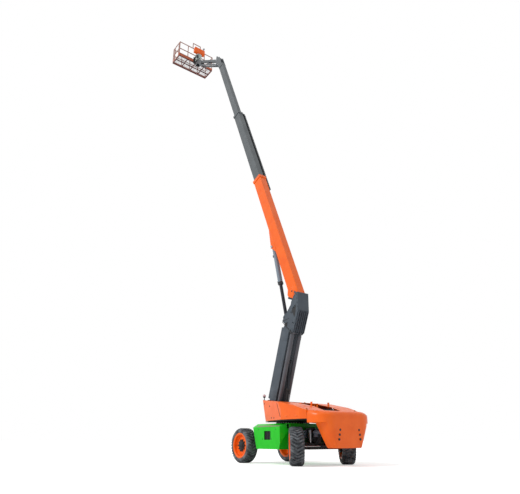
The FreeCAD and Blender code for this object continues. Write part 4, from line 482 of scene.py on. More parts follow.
# %% The four tyres
WHEELS = {}
for name in ("front_left", "front_right", "rear_left", "rear_right"):
    hub = joint_at(f"{name}_spin")
    side = 1 if "left" in name else -1
    outward = side * Vector(joints[f"{name}_spin"]["axis"])
    WHEELS[name] = Matrix.Translation(hub) @ Matrix((outward.cross(Z), outward, Z)).transposed().to_4x4()
    bm = tyre_mesh()
    bmesh.ops.transform(bm, matrix=WHEELS[name], verts=bm.verts)
    piece = keep(bm, f"{name}_tread", tyre_rubber, f"{name}_tyre", sharp=28)
    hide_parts(f"{name}_tyre")
print("tyre faces:", len(piece.data.polygons))


# %% [markdown]
# ## Rims and hubs
# The rim is rolled steel with a flange at each edge, welded to a pressed disc that sits deep inside
# it. The disc is held on a planetary hub by ten nuts. The hub casting has ten lobes, one for each
# stud, which is why it looks like a star. Rim and hub are turned; the star is a ring of points
# pulled in and out by a cosine, then extruded.

# %% The star casting
DISC_OUT = 100 * MM
RIM_HALF = 203 * MM
STAR_RADIUS = 212 * MM
NUT_CIRCLE = 178 * MM
STUDS = 10


def add_star(bm, low, high, place):
    """A plate with a lobe for each stud, from low to high along Z."""
    ring = bmesh.ops.create_circle(bm, cap_ends=True, segments=12 * STUDS, radius=STAR_RADIUS)["verts"]
    for vert in ring:
        angle = math.atan2(vert.co.y, vert.co.x)
        pull = 0.84 + 0.16 * math.cos(STUDS * angle)
        vert.co = Vector((vert.co.x * pull, vert.co.y * pull, low))
    face = list({face for vert in ring for face in vert.link_faces})
    made = bmesh.ops.extrude_face_region(bm, geom=face)["geom"]
    top = [item for item in made if isinstance(item, bmesh.types.BMVert)]
    bmesh.ops.translate(bm, vec=(0, 0, high - low), verts=top)
    bmesh.ops.scale(bm, vec=(0.94, 0.94, 1), verts=top)
    bmesh.ops.transform(bm, matrix=place, verts=ring + top)


# %% Rims, hubs, nuts and valves
for name, at in WHEELS.items():
    outer = at @ Matrix.Rotation(-math.pi / 2, 4, "X")
    slot = f"{name}_rim"
    face = RIM_HALF
    bm = bmesh.new()
    add_turned(bm, [(0.346, -face), (0.402, -face), (0.405, -face + 0.014), (0.372, -face + 0.022),
                    (0.369, -0.10), (0.352, -0.06), (0.352, 0.05), (0.369, 0.10),
                    (0.372, face - 0.022), (0.405, face - 0.014), (0.407, face - 0.004),
                    (0.400, face), (0.376, face - 0.002), (0.352, face - 0.016), (0.348, 0.09),
                    (0.336, 0.075), (0.300, 0.082), (0.215, DISC_OUT), (0.10, DISC_OUT),
                    (0.10, DISC_OUT - 0.018), (0.215, DISC_OUT - 0.018), (0.30, 0.062),
                    (0.332, 0.055), (0.346, 0.03), (0.346, -face)], outer, steps=72)
    rim = keep(bm, f"{name}_dish", orange, slot)
    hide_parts(slot)
    bm = bmesh.new()
    add_star(bm, DISC_OUT, DISC_OUT + 0.034, outer)
    add_turned(bm, [(0, -0.03), (0.150, -0.03), (0.150, DISC_OUT - 0.01), (0.118, DISC_OUT + 0.03),
                    (0.112, DISC_OUT + 0.06), (0.095, DISC_OUT + 0.068), (0.062, DISC_OUT + 0.07),
                    (0.06, DISC_OUT + 0.082), (0.05, DISC_OUT + 0.086), (0, DISC_OUT + 0.086)],
               outer, steps=48)
    keep(bm, f"{name}_hub", chassis_black, slot)
    bm = bmesh.new()
    for on_star in circle(STUDS, NUT_CIRCLE, DISC_OUT + 0.032):
        add_bolt(bm, outer @ on_star, outer.to_3x3() @ Z, 17 * MM)
    add_bolt(bm, outer @ Vector((0.035, 0, DISC_OUT + 0.084)), outer.to_3x3() @ Z, 10 * MM)
    keep(bm, f"{name}_nuts", chassis_black, slot)
    bm = bmesh.new()
    add_round(bm, 7 * MM, 46 * MM, outer @ aim((0.326, 0, 0.072), (-0.3, 0, 1)), steps=12)
    keep(bm, f"{name}_valve", black_plastic, slot)
print("nuts on each hub:", STUDS)


# %% [markdown]
# ## Counterweight
# The tail is an iron casting, so its edges are as round as its mould. In plan its sides sweep in
# to the tail, and below the knee it tapers to a narrow foot that clears the wheels. Each level is
# half an arch with its mirror image, and bridging the levels skins the casting, as a loft does.
# The top levels close in quickly, which rounds the rim. Six holes for lifting gear are plugged.

# %% Levels of the casting
weight_low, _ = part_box("counterweight")


def add_level(bm, height, front, half, tail, tail_half, roundness, steps=12):
    """A closed ring of vertices and edges. It sweeps from the front corners to the tail."""
    arch = []
    for i in range(steps + 1):
        turn = math.pi / 2 * i / steps
        reach, spread = math.sin(turn) ** roundness, math.cos(turn) ** roundness
        arch.append((front + (tail - front) * reach, tail_half + (half - tail_half) * spread))
    ring = [bm.verts.new((x, y, height)) for x, y in arch + [(x, -y) for x, y in reversed(arch)]]
    return [bm.edges.new((a, b)) for a, b in zip(ring, ring[1:] + ring[:1])]


tail = weight_low.x
LEVELS = [
    # height, front x, front half width, tail x, tail half width, roundness
    (weight_low.z, -2.345, 0.62, tail + 0.06, 0.48, 1.3), (0.53, -2.325, 0.65, tail + 0.045, 0.50, 1.3),
    (0.83, -2.255, 0.78, tail + 0.02, 0.53, 0.8), (1.12, -2.19, 0.89, tail, 0.56, 0.6),
    (1.20, -2.175, 0.93, tail, 0.56, 0.65), (1.222, -2.002, 1.125, tail, 0.56, 0.84),
    (1.40, -2.0, 1.128, tail, 0.57, 0.84), (1.46, -2.0, 1.125, tail + 0.012, 0.56, 0.85),
    (1.505, -2.0, 1.112, tail + 0.04, 0.52, 0.95), (1.535, -2.0, 1.09, tail + 0.085, 0.47, 1.05),
    (1.55, -2.0, 1.05, tail + 0.16, 0.40, 1.1)]

# %% Casting and its plugs
bm = bmesh.new()
levels = [add_level(bm, *level) for level in LEVELS]
for lower, upper in zip(levels, levels[1:]):
    bmesh.ops.bridge_loops(bm, edges=lower + upper)
for end in (levels[0], levels[-1]):
    bmesh.ops.contextual_create(bm, geom=end)
TOP_FALL_FROM, TOP_FALL = 1.5, 1.2
for vert in bm.verts:
    if vert.co.z > TOP_FALL_FROM:
        vert.co.z += TOP_FALL * (vert.co.x - tail) * (vert.co.z - TOP_FALL_FROM)
weight = keep(bm, "counterweight_casting", orange, "counterweight", sharp=30)
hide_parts("counterweight")
bm = bmesh.new()
for side in (1, -1):
    for across, height in ((0.40, 1.02), (0.43, 0.885), (0.45, 0.755)):
        hole = aim((tail + 0.001 + 0.025 * max(0, 1 - height), side * across, height), (-1, 0, 0))
        add_turned(bm, [(0, -0.02), (0.034, -0.02), (0.034, 0.0), (0.029, 0.001), (0.026, -0.002),
                        (0, -0.002)], hole, steps=20)
keep(bm, "counterweight_plugs", chassis_black, "counterweight")
print("counterweight levels:", len(LEVELS))


# %% [markdown]
# ## Cover fittings
# The covers are pressed steel. Each nose has two slanted ribs pressed into it, a dark strip
# between them that is painted shade in the groove, and flush latches. Each hood has pull handles
# and marker lamps, and a rubber seal runs along the joint between nose and hood.
# They are small pieces on the covers' faces, so their places follow the faces: the nose cover
# widens steadily to the rear, and the hood's crest falls to the rear.

# %% Places on the covers
_, nose_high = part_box("nose_cover_left")
_, hood_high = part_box("hood_left")
NOSE_REAR, NOSE_HALF = -0.845, 0.65


def nose_face(x, side, z):
    """A point on the nose cover's outer face."""
    share = (nose_high.x - x) / (nose_high.x - NOSE_REAR)
    return Vector((x, side * (NOSE_HALF + (hood_high.y - NOSE_HALF) * share), z))


def strip(bm, start, end, normal, width, height):
    """A flat strip from one point to another, lying on a face."""
    along = (end - start).normalized()
    place = Matrix((along, along.cross(normal), normal)).transposed().to_4x4()
    add_block(bm, (0, -width / 2, -height), ((end - start).length, width / 2, height),
              Matrix.Translation(start) @ place, soft=2 * MM)


# %% Ribs, painted groove shade, seal, latches and lamps
for side, tag in SIDES:
    outward = Vector((0.31, side, 0)).normalized()
    bm = bmesh.new()
    for shift in (0, 0.05):
        strip(bm, nose_face(-0.535 + shift, side, 1.85), nose_face(-0.83 + shift, side, 1.42), outward,
              9 * MM, 3 * MM)
    keep(bm, f"nose_groove_{tag}", orange, f"nose_cover_{tag}")
    bm = bmesh.new()
    # The wide dark strip between the ribs is painted shade in the groove; the narrow one is the seal along the
    # joint.
    strip(bm, nose_face(-0.51, side, 1.85), nose_face(-0.805, side, 1.42), outward, 38 * MM, 1 * MM)
    strip(bm, Vector((-0.693, side * 1.07, 1.84)), Vector((-1.0, side * 1.2, 1.345)), side * Y,
          6 * MM, 2 * MM)
    keep(bm, f"seal_and_groove_shade_{tag}", hose_rubber, f"nose_cover_{tag}")
    bm = bmesh.new()
    for x, z in ((-0.008, 1.42), (-0.238, 1.41), (0.69, 1.915), (0.16, 1.80)):
        add_turned(bm, [(0, -0.01), (0.027, -0.01), (0.027, 0.004), (0.021, 0.007), (0.015, 0.003),
                        (0, 0.003)], aim(nose_face(x, side, z), outward), steps=20)
    keep(bm, f"nose_latches_{tag}", black_plastic, f"nose_cover_{tag}")
    bm = bmesh.new()
    for x in (-1.12, -1.60):
        face = Matrix.Translation((x, side * hood_high.y, 1.43))
        add_block(bm, (-0.065, -0.01, -0.03), (0.065, 0.004, 0.03), face, soft=6 * MM)
        add_block(bm, (-0.045, 0.0, -0.010), (0.045, 0.012, 0.010), face, soft=4 * MM)
    keep(bm, f"hood_handles_{tag}", orange, f"hood_{tag}")
    for number, at in enumerate(((-1.25, 0.52, 1.823), (-1.915, 1.05, 1.60))):
        spot = aim((at[0], side * at[1], at[2]), (0.05, 0.2 * side, 1))
        bm = bmesh.new()
        add_round(bm, 34 * MM, 14 * MM, spot, steps=24)
        keep(bm, f"marker_base_{tag}_{number}", chassis_black, f"hood_{tag}")
        bm = bmesh.new()
        add_turned(bm, [(0, 0.010), (0.029, 0.010), (0.029, 0.026), (0.022, 0.040), (0.010, 0.046),
                        (0, 0.047)], spot, steps=24)
        keep(bm, f"marker_lens_{tag}_{number}", amber, f"hood_{tag}")
print("hood crest at", round(hood_high.z, 3))


# %% [markdown]
# ## Beacon
# The warning lamp stands on a post at the nose. The post spreads into a cup, which holds a pale
# ribbed lens. Both are turned, and the lens closes in a dome.

# %% Beacon
lamp_low, lamp_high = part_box("beacon")
lamp = Matrix.Translation(((lamp_low.x + lamp_high.x) / 2, (lamp_low.y + lamp_high.y) / 2, 0))
bm = bmesh.new()
foot, top = lamp_low.z, lamp_high.z
add_turned(bm, [(0, foot), (0.034, foot), (0.034, foot + 0.008), (0.014, foot + 0.012), (0.014, top - 0.125),
                (0.036, top - 0.115), (0.048, top - 0.100), (0.050, top - 0.078), (0, top - 0.078)],
           lamp, steps=32)
post = keep(bm, "beacon_post", black_plastic, "beacon")
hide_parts("beacon")
bm = bmesh.new()
dome = [(0, top - 0.078), (0.046, top - 0.078)]
dome += [(0.052 * math.cos(math.radians(a)), top - 0.056 + 0.055 * math.sin(math.radians(a)))
         for a in range(0, 90, 15)]
add_turned(bm, dome + [(0, top - 0.001)], lamp, steps=32)
keep(bm, "beacon_lens", rose, "beacon")
print("beacon top", round(top, 3))


# %% [markdown]
# ## Chassis details
# The hull is a welded box with a slanted cap. A pale strip along the cap's lower part is a
# painted reflection. A narrow frame lines the window, which shows a dark block of valves inside,
# and small slots beside it are for lashings; their openings are dark patches of painted shade.
# The slewing gear's teeth stand round the bearing.

# %% Window and lashing slots
hull_low, hull_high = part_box("chassis_frame")
WINDOW_LOW, WINDOW_HIGH = Vector((-0.170, 0, 0.740)), Vector((0.170, 0, 1.010))
WINDOW_FRAME = 14 * MM
for side, tag in SIDES:
    low, high, face = WINDOW_LOW, WINDOW_HIGH, hull_high.y
    left, right = low.x - WINDOW_FRAME, high.x + WINDOW_FRAME
    sill, head = low.z - WINDOW_FRAME, high.z + WINDOW_FRAME
    bm = bmesh.new()
    for x0, z0, x1, z1 in ((left, sill, low.x, head), (high.x, sill, right, head),
                           (low.x, sill, high.x, low.z), (low.x, high.z, high.x, head)):
        add_block(bm, (x0, side * (face - 0.02), z0), (x1, side * (face - 0.001), z1), soft=2 * MM)
    keep(bm, f"window_frame_{tag}", pale_green, "chassis_frame")
    bm = bmesh.new()
    add_block(bm, (low.x - 0.04, side * (face - 0.15), low.z - 0.03),
              (high.x + 0.04, side * (face - 0.045), high.z + 0.03), soft=4 * MM)
    for x in (-0.09, 0.02, 0.10):
        add_round(bm, 26 * MM, 0.24, Matrix.Translation((x, side * (face - 0.04), low.z + 0.01)), steps=16)
    keep(bm, f"valve_block_{tag}", chassis_black, "chassis_frame")
    bm = bmesh.new()
    # Dark patches where the lashing slots are, as painted shade in the openings.
    for x, half, z0, z1 in ((-0.208, 0.011, 0.735, 0.805), (0.263, 0.011, 0.735, 0.805),
                            (-0.45, 0.02, 1.04, 1.075), (0.48, 0.02, 1.04, 1.075)):
        add_block(bm, (x - half, side * (face - 0.008), z0), (x + half, side * (face + 0.001), z1),
                  soft=4 * MM)
    keep(bm, f"lashing_slot_shade_{tag}", black_plastic, "chassis_frame")
print("hull", [round(v, 3) for v in hull_low], [round(v, 3) for v in hull_high])

# %% Painted reflection on the cap, and slewing gear
CAP_FOOT, CAP_ACROSS, CAP_RISE = 1.13, 0.876, 0.482
GEAR_TEETH, TOOTH_ROOT = 40, 565 * MM
# Pale strips along the cap's lower slope, as a painted reflection.
bm = bmesh.new()
for side, _ in SIDES:
    inward, outward = Vector((0, -side * CAP_ACROSS, CAP_RISE)), Vector((0, side * CAP_RISE, CAP_ACROSS))
    slope = Matrix((X, inward, outward)).transposed().to_4x4()
    edge = Matrix.Translation((0, side * hull_high.y, CAP_FOOT)) @ slope
    add_block(bm, (-0.60, 0.022, -0.004), (0.62, 0.098, 0.005), edge, soft=2 * MM)
keep(bm, "cap_reflection_strips", pale_green, "chassis_frame")
bm = bmesh.new()
bearing_low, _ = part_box("swing_bearing")
for spot in circle(GEAR_TEETH, TOOTH_ROOT, bearing_low.z + 0.012):
    place = Matrix.Translation(spot) @ Matrix.Rotation(math.atan2(spot.y, spot.x), 4, "Z")
    add_block(bm, (-0.02, -0.012, 0), (0.006, 0.012, 0.030), place, soft=2 * MM)
keep(bm, "swing_gear", zinc, "swing_bearing")
print("gear teeth:", GEAR_TEETH)


# %% [markdown]
# ## Axles and drives
# The two beams that reach out from the hull to the axles are black, so the hull's paint changes
# to black past its ends. Axles of such machines can rock, and two short cylinders beside the rear
# one's pivot hold it. A hydraulic motor drives each front wheel through its hub, and hoses run to
# both axles. Nothing here is sheet metal: all of it is turned bars, cast blocks and bent pipes.

# %% Black beams
def repaint(material, axis, limit, test, code):
    """Another colour where the X or Z coordinate is past a limit."""
    tree = material.node_tree
    shader = next(node for node in tree.nodes if node.type == "BSDF_PRINCIPLED")
    paint = shader.inputs["Base Color"].links[0].from_socket
    place = add(tree, "ShaderNodeTexCoord", {}).outputs["Object"]
    along = add(tree, "ShaderNodeSeparateXYZ", {"Vector": place}).outputs[axis]
    past = add(tree, "ShaderNodeMath", {0: along, 1: limit}, operation=test)
    both = add(tree, "ShaderNodeMixRGB", {"Fac": past.outputs[0], "Color1": paint, "Color2": colour(code)})
    tree.links.new(both.outputs["Color"], shader.inputs["Base Color"])


repaint(green, "X", 0.815, "GREATER_THAN", "#2B2C2E")
repaint(green, "X", -0.825, "LESS_THAN", "#2B2C2E")
print("hull paint ends at the beams")

# %% Lock cylinders of the rear axle
rear_x = joint_at("steer_left").x
AXLE_Z = joint_at("steer_left").z
LOCK_Y = 0.47
for side, tag in SIDES:
    axle = Matrix.Translation((rear_x, side * LOCK_Y, AXLE_Z))
    bm = bmesh.new()
    add_round(bm, 55 * MM, 0.34, axle @ Matrix.Translation((0.02, 0, 0.15)))
    add_round(bm, 66 * MM, 0.05, axle @ Matrix.Translation((0.02, 0, 0.30)))
    keep(bm, f"lock_cylinder_{tag}", zinc, "rear_axle")
    bm = bmesh.new()
    add_round(bm, 28 * MM, 0.14, axle @ Matrix.Translation((0.02, 0, 0.09)))
    keep(bm, f"lock_rod_{tag}", hard_chrome, "rear_axle")
    bm = bmesh.new()
    add_block(bm, (-0.10, -0.09, 0.47), (0.14, 0.09, 0.53), axle)
    add_block(bm, (-0.07, -side * 0.06, 0.13), (0.09, -side * 0.16, 0.27), axle)
    for x in (-0.05, 0.07):
        add_bolt(bm, axle @ Vector((x, -side * 0.11, 0.27)), Z, 16 * MM)
    keep(bm, f"lock_bracket_{tag}", chassis_black, "rear_axle")
print("rear axle at", round(rear_x, 3))

# %% Steering pumps and their hoses
STEERING_HOSES = 4
for side, tag in SIDES:
    bm = bmesh.new()
    for y, z, size in ((0.385, 0.960, 1.0), (0.255, 1.030, 0.8)):
        profile = [(0, 0), (0.050, 0), (0.058, 0.02), (0.058, 0.07), (0.082, 0.09), (0.082, 0.19),
                   (0.066, 0.21), (0.066, 0.25), (0, 0.25)]
        add_turned(bm, [(size * radius, along) for radius, along in profile],
                   aim((rear_x - 0.34, side * y, z), X), steps=32)
    add_block(bm, (rear_x - 0.26, side * 0.21, 0.825), (rear_x - 0.12, side * 0.45, 0.90))
    keep(bm, f"steering_pump_{tag}", engine_grey, "chassis_frame")
    for i in range(STEERING_HOSES):
        y = 0.455 - 0.022 * i
        route = [(-0.30, y - 0.05, 0.93), (-0.36, y, 0.84), (-0.30 + 0.03 * i, y + 0.01, 0.70),
                 (-0.14, y, 0.62 + 0.01 * i), (-0.06, y - 0.03, 0.66)]
        pipe(f"steering_hose_{tag}_{i}", [(rear_x + x, side * y, z) for x, y, z in route], 22 * MM,
             hose_rubber, "chassis_frame")
print("steering hoses:", 2 * STEERING_HOSES)

# %% Drive motors, manifold and travel pumps
for side, tag in SIDES:
    hub = joint_at(f"front_{tag}_spin")
    motor = Matrix.Translation((hub.x - 0.24, side * 0.60, hub.z + 0.02))
    bm = bmesh.new()
    add_turned(bm, [(0, -0.10), (0.06, -0.10), (0.075, -0.08), (0.075, 0.02), (0.09, 0.03),
                    (0.09, 0.07), (0, 0.07)], motor @ Matrix.Rotation(math.pi / 2, 4, "Y"))
    add_block(bm, (-0.06, -0.05, 0.05), (0.02, 0.05, 0.10), motor)
    keep(bm, f"drive_motor_front_{tag}", engine_grey, "front_axle")
MANIFOLD = Matrix.Translation((-1.02, 0.0, 0.93))
bm = bmesh.new()
add_block(bm, (-0.14, -0.20, -0.09), (0.14, 0.20, 0.09), MANIFOLD)
for y in (-0.16, -0.08, 0, 0.08, 0.16):
    add_round(bm, 22 * MM, 0.10, MANIFOLD @ Matrix.Translation((0.06, y, 0.08)), steps=16)
    add_round(bm, 16 * MM, 0.07, MANIFOLD @ aim((-0.13, y, 0.0), -X), steps=6)
keep(bm, "steering_manifold", engine_grey, "chassis_frame")
bm = bmesh.new()
for y in (-0.44, 0.44):
    add_turned(bm, [(0, -0.02), (0.11, -0.02), (0.115, 0.03), (0.10, 0.05), (0.09, 0.16), (0.07, 0.19),
                    (0, 0.19)], aim((-0.95, y, 0.86), -X))
    add_block(bm, (-1.16, y - 0.05, 0.92), (-1.02, y + 0.05, 1.02))
    add_block(bm, (-1.02, y, 0.80), (-0.94, math.copysign(0.24, y), 0.92))
keep(bm, "travel_pumps", engine_grey, "chassis_frame")
print("manifold at", [round(v, 3) for v in MANIFOLD.translation])

# %% Hoses and pipes at the axles
AXLE_HOSES, FRONT_PIPES = 6, 2
for i in range(AXLE_HOSES):
    side = 1 if i % 2 else -1
    y = 0.10 + 0.05 * (i // 2)
    route = [(-1.15, y * 0.8, 0.93), (-1.30, y, 0.95), (-1.36, y + 0.08, 0.86),
             (-1.30, 0.30 + 0.02 * i, 0.80), (-1.12, 0.42, 0.84 + 0.02 * i)]
    pipe(f"axle_hose_{i}", [(x, side * y, z) for x, y, z in route], 18 * MM,
         hose_rubber, "chassis_frame")
for side, tag in SIDES:
    for i in range(FRONT_PIPES):
        route = [(0.80, 0.20 + 0.04 * i, 0.98), (1.02, 0.22 + 0.04 * i, 0.96),
                 (1.10, 0.44 + 0.02 * i, 0.80), (1.12, 0.55, 0.70 + 0.03 * i)]
        pipe(f"front_pipe_{tag}_{i}", [(x, side * y, z) for x, y, z in route], 16 * MM,
             hose_rubber, "front_axle")
print("axle hoses and pipes:", AXLE_HOSES + 2 * FRONT_PIPES)


# %% [markdown]
# ## On the deck and behind the tower
# Below the covers the deck shows from the side as a dark ledge. A swing motor with its gearbox
# stands on it and drives the slewing gear. In the gap between the two hoods lie the boom's
# hoses and a block of valves with two rows of coils. Bolts and pin caps stand on the side rails.

# %% Swing drive, valves and hoses
DECK_HOSES = 6
bm = bmesh.new()
SWING_DRIVE = Matrix.Translation((0.46, -0.46, 1.335))
add_turned(bm, [(0, -0.004), (0.11, -0.004), (0.11, 0.02), (0.085, 0.03), (0.085, 0.16), (0.095, 0.17),
                (0.095, 0.20), (0.06, 0.21), (0.06, 0.32), (0, 0.33)], SWING_DRIVE)
for spot in circle(8, 98 * MM, 19 * MM):
    add_bolt(bm, SWING_DRIVE @ spot, Z, 9 * MM)
keep(bm, "swing_drive", engine_grey, "turntable_frame")
bm = bmesh.new()
add_block(bm, (-1.62, -0.22, 1.336), (-1.05, 0.22, 1.47), soft=8 * MM)
for i in range(7):
    for y in (-0.12, 0.12):
        add_round(bm, 20 * MM, 0.07, Matrix.Translation((-1.56 + 0.075 * i, y, 1.465)), steps=12)
keep(bm, "boom_valves", engine_grey, "turntable_frame")
for i in range(DECK_HOSES):
    y = -0.15 + 0.06 * i
    pipe(f"deck_hose_{i}", [(-1.06, y, 1.40), (-0.85, y, 1.41 + 0.01 * i), (-0.55, 0.9 * y, 1.37),
                            (-0.20, 0.8 * y, 1.38 + 0.01 * i), (0.05, 0.75 * y, 1.36)],
         20 * MM, hose_rubber, "turntable_frame")
print("deck hoses:", DECK_HOSES)

# %% Bolts and pin caps of the side rails
for side, tag in SIDES:
    bm = bmesh.new()
    for x in (-0.60, -0.35, 0.55):
        for z in (1.40, 1.52):
            add_bolt(bm, (x, side * 0.355, z), side * Y, 14 * MM)
    for at, radius in ((joint_at("tower_lift"), 70 * MM), (joint_at("level_rod_pivot"), 52 * MM)):
        face = aim(at + side * 0.353 * Y, side * Y)
        add_turned(bm, [(0, 0), (radius, 0), (radius, 0.008), (0.8 * radius, 0.012), (0, 0.012)], face)
        add_block(bm, (0.5 * radius, -0.02, 0.010), (1.6 * radius, 0.02, 0.018), face)
        add_bolt(bm, face @ Vector((1.35 * radius, 0, 0.017)), side * Y, 12 * MM)
    keep(bm, f"rail_bolts_{tag}", zinc, "turntable_frame")
print("tower pin at", [round(v, 3) for v in joint_at("tower_lift")])


# %% [markdown]
# ## Knuckle
# The knuckle is welded from two thick side plates. Its outline is stiffened by a narrow flange,
# every pin ends in a flanged cap held by a keeper bar and bolts, and a raised boss surrounds
# each bore. A dark plate above the middle is painted shade in the opening there, and dark strips
# along a groove and the lower edges are painted shadow. The same cap serves all pins of the
# machine, so it is a function.

# %% Pin caps and edge flanges
def add_pin_cap(bm, at, side, radius, keeper=0.6):
    """A pin's end: a chamfered cap, its keeper bar at an angle and two bolts."""
    face = aim(at, side * Y)
    add_turned(bm, [(0, 0), (radius, 0), (radius, 0.010), (0.82 * radius, 0.016), (0.3 * radius, 0.016),
                    (0.25 * radius, 0.012), (0, 0.012)], face)
    turn = face @ Matrix.Rotation(keeper, 4, "Z")
    add_block(bm, (0.45 * radius, -0.22 * radius, 0.013), (1.55 * radius, 0.22 * radius, 0.021), turn,
              soft=2 * MM)
    for reach in (0.75, 1.35):
        add_bolt(bm, turn @ Vector((reach * radius, 0, 0.021)), side * Y, 0.16 * radius)


def add_flange(bm, place, outline, side, y, width, height):
    """A flat bar laid along an outline of (x, z) points in millimetres, on the face at y."""
    for (x0, z0), (x1, z1) in zip(outline, outline[1:]):
        start = place @ Vector((x0 * MM, side * y, z0 * MM))
        end = place @ Vector((x1 * MM, side * y, z1 * MM))
        strip(bm, start, end, side * Y, width, height)


def add_slab(bm, corners, side, y, thick):
    """A flat plate cut to an outline of (x, z) points in metres, its outer face at y."""
    outline = [bm.verts.new((x, side * (y - thick), z)) for x, z in corners]
    raised = bmesh.ops.extrude_face_region(bm, geom=[bm.faces.new(outline)])["geom"]
    moved = [part for part in raised if isinstance(part, bmesh.types.BMVert)]
    bmesh.ops.translate(bm, verts=moved, vec=side * thick * Y)


# %% Flanges, painted shade and pins of the knuckle
KNUCKLE_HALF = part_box("knuckle")[1].y
RIM = [(188, 168), (-340, -334), (-402, -285), (-686, 418), (-686, 1076), (-572, 1076), (-342, 792),
       (-312, 684), (188, 172)]
SPINE = [(-590, 1000), (-640, 560), (-430, -120)]
GROOVE = [(196, 150), (-186, 205)]
LOWER_EDGE = [(206, 132), (-318, -366)]
OPENING_SHADE = [(-0.585, 0.60), (-0.56, 0.36), (-0.49, 0.19), (-0.34, 0.46)]
for side, tag in SIDES:
    bm = bmesh.new()
    add_flange(bm, KNUCKLE, RIM, side, KNUCKLE_HALF - 0.001, 22 * MM, 5 * MM)
    add_flange(bm, KNUCKLE, SPINE, side, KNUCKLE_HALF - 0.001, 60 * MM, 3 * MM)
    for x, z, radius in ((-0.287, -0.259, 0.085), (-0.412, 0.005, 0.05), (-0.320, 0.400, 0.045)):
        boss = aim(KNUCKLE @ Vector((x, side * (KNUCKLE_HALF - 0.002), z)), side * Y)
        add_turned(bm, [(0.62 * radius, 0), (radius, 0), (radius, 0.010), (0.92 * radius, 0.014),
                        (0.66 * radius, 0.014), (0.62 * radius, 0.010), (0.62 * radius, 0)], boss)
    keep(bm, f"knuckle_flanges_{tag}", slate_painted_shade, "knuckle")
    bm = bmesh.new()
    # Dark strips along the groove and the lower edges, as painted shadow.
    add_flange(bm, KNUCKLE, GROOVE, side, KNUCKLE_HALF, 26 * MM, 2 * MM)
    add_flange(bm, KNUCKLE, LOWER_EDGE, side, KNUCKLE_HALF - 0.003, 20 * MM, 4 * MM)
    keep(bm, f"knuckle_shadow_strips_{tag}", hose_rubber, "knuckle")
    # A dark plate above the middle, as painted shade in the opening there.
    bm = bmesh.new()
    corner = KNUCKLE.translation
    add_slab(bm, [(corner.x + x, corner.z + z) for x, z in OPENING_SHADE], side, KNUCKLE_HALF + 0.003, 0.005)
    keep(bm, f"knuckle_opening_shade_{tag}", hose_rubber, "knuckle")
    bm = bmesh.new()
    for x, z, radius in ((0, 0, 0.075), (-0.27, -0.32, 0.055)):
        pin = KNUCKLE @ Vector((x, side * (KNUCKLE_HALF - 0.001), z))
        add_pin_cap(bm, pin, side, radius, keeper=0.7 - x * 4)
    for z in (0.55, 0.70, 0.85, 1.00):
        add_bolt(bm, KNUCKLE @ Vector((-0.655, side * KNUCKLE_HALF, z)), side * Y, 14 * MM)
    keep(bm, f"knuckle_pins_{tag}", chassis_black, "knuckle")
print("knuckle half width", round(KNUCKLE_HALF, 3))


# %% [markdown]
# ## Tower boom and level rods
# The tower is a rectangular tube with doubler plates at its pins. The level rods beside it are
# tubes with a forged eye shrunk on at each end, held by two collars. Steel pipes run along the
# tower's lower face to feed the cylinders above, and clamps hold them in four places.

# %% Tower fittings
TOWER_HALF = 225.5 * MM
tower_run = joint_at("upright_pivot") - joint_at("tower_lift")
tower_length = tower_run.length
for side, tag in SIDES:
    face = side * TOWER_HALF
    bm = bmesh.new()
    for s in (0.42, tower_length - 0.42):
        add_block(bm, (s - 0.16, face - 0.0045, -0.17), (s + 0.16, face + 0.0045, 0.19), TOWER, soft=3 * MM)
    add_block(bm, (1.35, face - 0.004, 0.09), (1.85, face + 0.004, 0.16), TOWER, soft=3 * MM)
    keep(bm, f"tower_doublers_{tag}", slate_painted_shade, "tower_boom")
bm = bmesh.new()
for s in (0.6, 1.1, 2.1, 2.5):
    for y in (-0.195, 0.195):
        add_block(bm, (s - 0.02, y - 0.024, -0.252), (s + 0.02, y + 0.024, -0.240), TOWER, soft=2 * MM)
        add_bolt(bm, TOWER @ Vector((s, y, -0.252)), TOWER.to_3x3() @ -Z, 7 * MM)
keep(bm, "tower_clamps", chassis_black, "tower_boom")
for i, y in enumerate((-0.205, -0.185, 0.185, 0.205)):
    pipe(f"tower_pipe_{i}", [(0.35, y, -0.251), (0.9, y, -0.252), (1.8, y, -0.252), (2.62, y, -0.251)],
         12 * MM, chassis_black, "tower_boom", TOWER)
rods = tilted(joint_at("level_rod_pivot"), tower_run)
bm = bmesh.new()
for y in (-0.17, 0.17):
    for s in (0.13, 0.20, tower_length - 0.20, tower_length - 0.13):
        ring = rods @ Matrix.Translation((s - 0.012, y, 0)) @ Matrix.Rotation(math.pi / 2, 4, "Y")
        add_turned(bm, [(0.07, 0), (0.079, 0), (0.081, 0.004), (0.081, 0.020), (0.079, 0.024),
                        (0.07, 0.024), (0.07, 0)], ring)
keep(bm, "level_rod_collars", rod_grey, "level_rods")
print("tower length", round(tower_length, 3))


# %% [markdown]
# ## Telescopic boom
# Each mouth is reinforced by a collar. Nylon wear pads sit inside it, and their adjusting bolts
# show on the collar's faces, three in a row. The base section has foot plates beside its pin, and
# doubler plates there and along the root of the cylinder's bracket.

